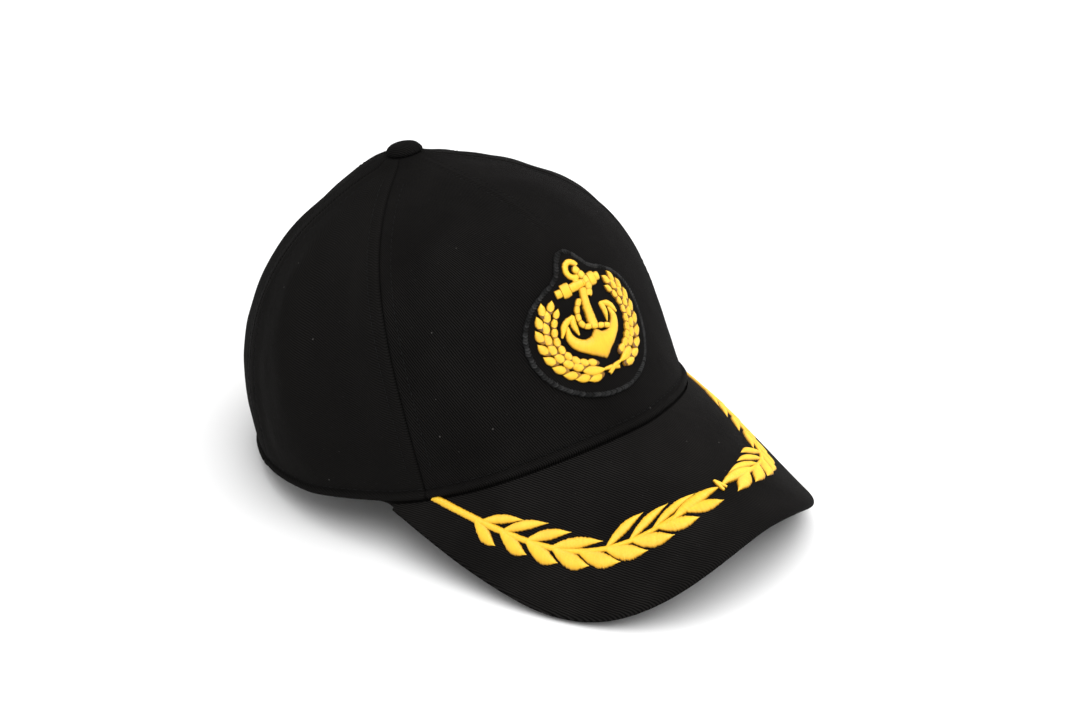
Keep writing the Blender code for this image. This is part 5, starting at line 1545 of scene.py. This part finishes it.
def build_loop():
    """Short folded strip round the buckle's bar, sewn inside the back panel."""
    buckle = -11.0 * RAD
    bar_x, bar_y = -11.3 * MM, -2.0 * MM
    radius = NAPE_RADIUS + bar_y
    bar_angle = buckle + math.atan2(bar_x, radius)
    bar_depth = NAPE_RADIUS - math.hypot(bar_x, radius)
    thick = 0.6 * MM
    eye = 1.2 * MM + thick / 2
    turn = np.linspace(200.0, -20.0, 22) * RAD
    bar = np.array([bar_angle * NAPE_RADIUS, -bar_depth])
    loop = bar + eye * np.stack([np.cos(turn + math.pi / 2), np.sin(turn + math.pi / 2)], axis=1)
    end = -34.0 * RAD * NAPE_RADIUS
    start = bar[0] - 4.6 * MM
    away = np.stack([np.linspace(start, end, 14), np.full(14, -2.75 * MM)], axis=1)
    back = away[::-1][7:] - (0.0, 1.25 * thick)
    path = np.concatenate([back, loop[::-1], away])
    path = resample(path, 0.4 * MM)[0]
    for _ in range(6):
        path[1:-1] = 0.5 * path[1:-1] + 0.25 * (path[:-2] + path[2:])
    side = square(np.gradient(path, axis=0))
    heights = np.array([4.0, 4.1, 4.4, 5.2, 7, 10, 13, 16, 19, 20.8, 21.6, 21.9, 22.0]) * MM
    edge = 1.0 - 0.6 * np.abs(np.linspace(-1, 1, len(heights))) ** 8
    grids = []
    for sign in (1.0, -1.0):
        flat = path[:, None] + side[:, None] * (sign * thick / 2 * edge)[None, :, None]
        grids.append(nape_point(flat[..., 0] / NAPE_RADIUS, heights[None], -flat[..., 1]))
    pile = Pile()
    pile.shell(*grids)
    make("buckle_loop", pile, SIDE_TWILL, "cap", ("buckle_loop",), "twill")


def finish_kept_nodes():
    """Materials and softened edges for the CAD nodes whose shapes are right."""
    finishes = {
        "button_shell": STEEL, "button_rivet": STEEL, "buckle_pin": STEEL, "visor_board": BOARD,
        "sweatband_padding": FOAM, "buckle_frame": BRASS, "buckle_lever": BRASS,
    }
    for name, material in finishes.items():
        node = frame["nodes"][name]
        node.data.materials.clear()
        node.data.materials.append(material)
        if name.startswith("buckle") or name == "button_rivet":
            soften = node.modifiers.new("rounded_edges", "BEVEL")
            soften.width = 0.22 * MM
            soften.segments = 3
            soften.limit_method = "ANGLE"
            soften.angle_limit = 35.0 * RAD


# ---- Floor, light and camera ----

# The camera's direction and aim, in the rim frame.
VIEW_AZIMUTH = -41.484 * RAD
VIEW_ELEVATION = 22.934 * RAD
VIEW_ROLL = -8.629 * RAD
VIEW_DISTANCE = 880.7 * MM
VIEW_AIM = (8.88 * MM, -41.38 * MM, 28.31 * MM)
VIEW_LENS = 69.82  # mm, on a sensor 36 mm wide
FLOOR_FADE = (0.45, 1.1)
WORLD_LIGHT = 0.62
LIGHTS = {
    # place, aim, size and power in watts
    "key": ((-0.25, -0.7, 1.7), (0.0, -0.03, 0.05), 2.0, 30.0),
    "fill": ((1.3, -0.6, 0.9), (0.0, 0.0, 0.05), 1.6, 7.0),
    "top": ((0.4, 0.1, 1.6), (0.0, 0.0, 0.05), 1.8, 7.0),
}


def build_stage(low):
    """Pale floor, unseen from below, that gives way to the white backdrop with distance."""
    size = 6.0
    data = bpy.data.meshes.new("floor")
    corners = [(-size, -size, low), (size, -size, low), (size, size, low), (-size, size, low)]
    data.from_pydata(corners, [], [(0, 1, 2, 3)])
    n = Nodes("floor_paper")
    geometry = n.add("ShaderNodeNewGeometry")
    n.finish((0.90, 0.90, 0.90, 1.0), 0.9, None, Specular_IOR_Level=0.1)
    clear = n.add("ShaderNodeBsdfTransparent")
    mix = n.add("ShaderNodeMixShader")
    away = n.add("ShaderNodeVectorMath", operation="LENGTH")
    n.put(away.inputs[0], geometry.outputs["Position"])
    fade = n.add("ShaderNodeMapRange", interpolation_type="SMOOTHSTEP")
    n.put(fade.inputs["Value"], away.outputs["Value"])
    n.put(fade.inputs["From Min"], FLOOR_FADE[0])
    n.put(fade.inputs["From Max"], FLOOR_FADE[1])
    seen = n.add("ShaderNodeLightPath").outputs["Is Camera Ray"]
    far = n.math("MULTIPLY", fade.outputs[0], seen)
    n.put(mix.inputs[0], n.math("MAXIMUM", geometry.outputs["Backfacing"], far))
    n.put(mix.inputs[1], n.shader.outputs[0])
    n.put(mix.inputs[2], clear.outputs[0])
    n.put(n.tree.nodes["Material Output"].inputs["Surface"], mix.outputs[0])
    data.materials.append(n.material)
    floor = bpy.data.objects.new("floor", data)
    bpy.context.scene.collection.objects.link(floor)


def add_light(name, place, target, size, power):
    data = bpy.data.lights.new(name, "AREA")
    data.shape = "DISK"
    data.size = size
    data.energy = power
    light = bpy.data.objects.new(name, data)
    light.location = place
    light.rotation_euler = (Vector(target) - Vector(place)).to_track_quat("-Z", "Y").to_euler()
    bpy.context.scene.collection.objects.link(light)


def build_lights():
    """Soft studio: a dim white surround that the camera sees as plain white, and three discs."""
    world = bpy.data.worlds.new("studio")
    bpy.context.scene.world = world
    world.use_nodes = True
    tree = world.node_tree
    back = tree.nodes["Background"]
    back.inputs[0].default_value = (1.0, 1.0, 1.0, 1.0)
    seen = tree.nodes.new("ShaderNodeLightPath")
    strength = tree.nodes.new("ShaderNodeMapRange")
    tree.links.new(seen.outputs["Is Camera Ray"], strength.inputs["Value"])
    strength.inputs["To Min"].default_value = WORLD_LIGHT
    strength.inputs["To Max"].default_value = 1.0
    tree.links.new(strength.outputs[0], back.inputs[1])
    for name, settings in LIGHTS.items():
        add_light(name, *settings)


def build_camera():
    """Camera, with its place and turn carried from the rim frame to the table."""
    c, s = math.cos(VIEW_ELEVATION), math.sin(VIEW_ELEVATION)
    back = Vector((math.sin(VIEW_AZIMUTH) * c, -math.cos(VIEW_AZIMUTH) * c, s))
    right = Vector((math.cos(VIEW_AZIMUTH), math.sin(VIEW_AZIMUTH), 0.0))
    up = back.cross(right)
    right, up = (
        right * math.cos(VIEW_ROLL) + up * math.sin(VIEW_ROLL),
        up * math.cos(VIEW_ROLL) - right * math.sin(VIEW_ROLL),
    )
    turn = RIM_TURN @ Matrix((right, up, back)).transposed()
    data = bpy.data.cameras.new("camera")
    data.lens = VIEW_LENS
    data.sensor_width = 36.0
    data.clip_start = 0.01
    camera = bpy.data.objects.new("camera", data)
    place = RIM_TURN @ (Vector(VIEW_AIM) + back * VIEW_DISTANCE) + RIM_PLACE
    camera.matrix_world = Matrix.Translation(place) @ turn.to_4x4()
    bpy.context.scene.collection.objects.link(camera)
    bpy.context.scene.camera = camera


build_front_panel()
build_side_panels()
build_back_panels()
build_seam_stitches()
build_inner_layers()
build_sweatband()
build_button()
build_visor()
build_visor_embroidery()
build_badge_base()
build_anchor()
build_wreath("badge_wreath_left", 1.0)
build_wreath("badge_wreath_right", -1.0)
build_strap()
build_loop()
finish_kept_nodes()
low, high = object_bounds()
build_stage(low.z - 0.2 * MM)
build_lights()
build_camera()
bpy.context.scene.view_settings.view_transform = "Standard"
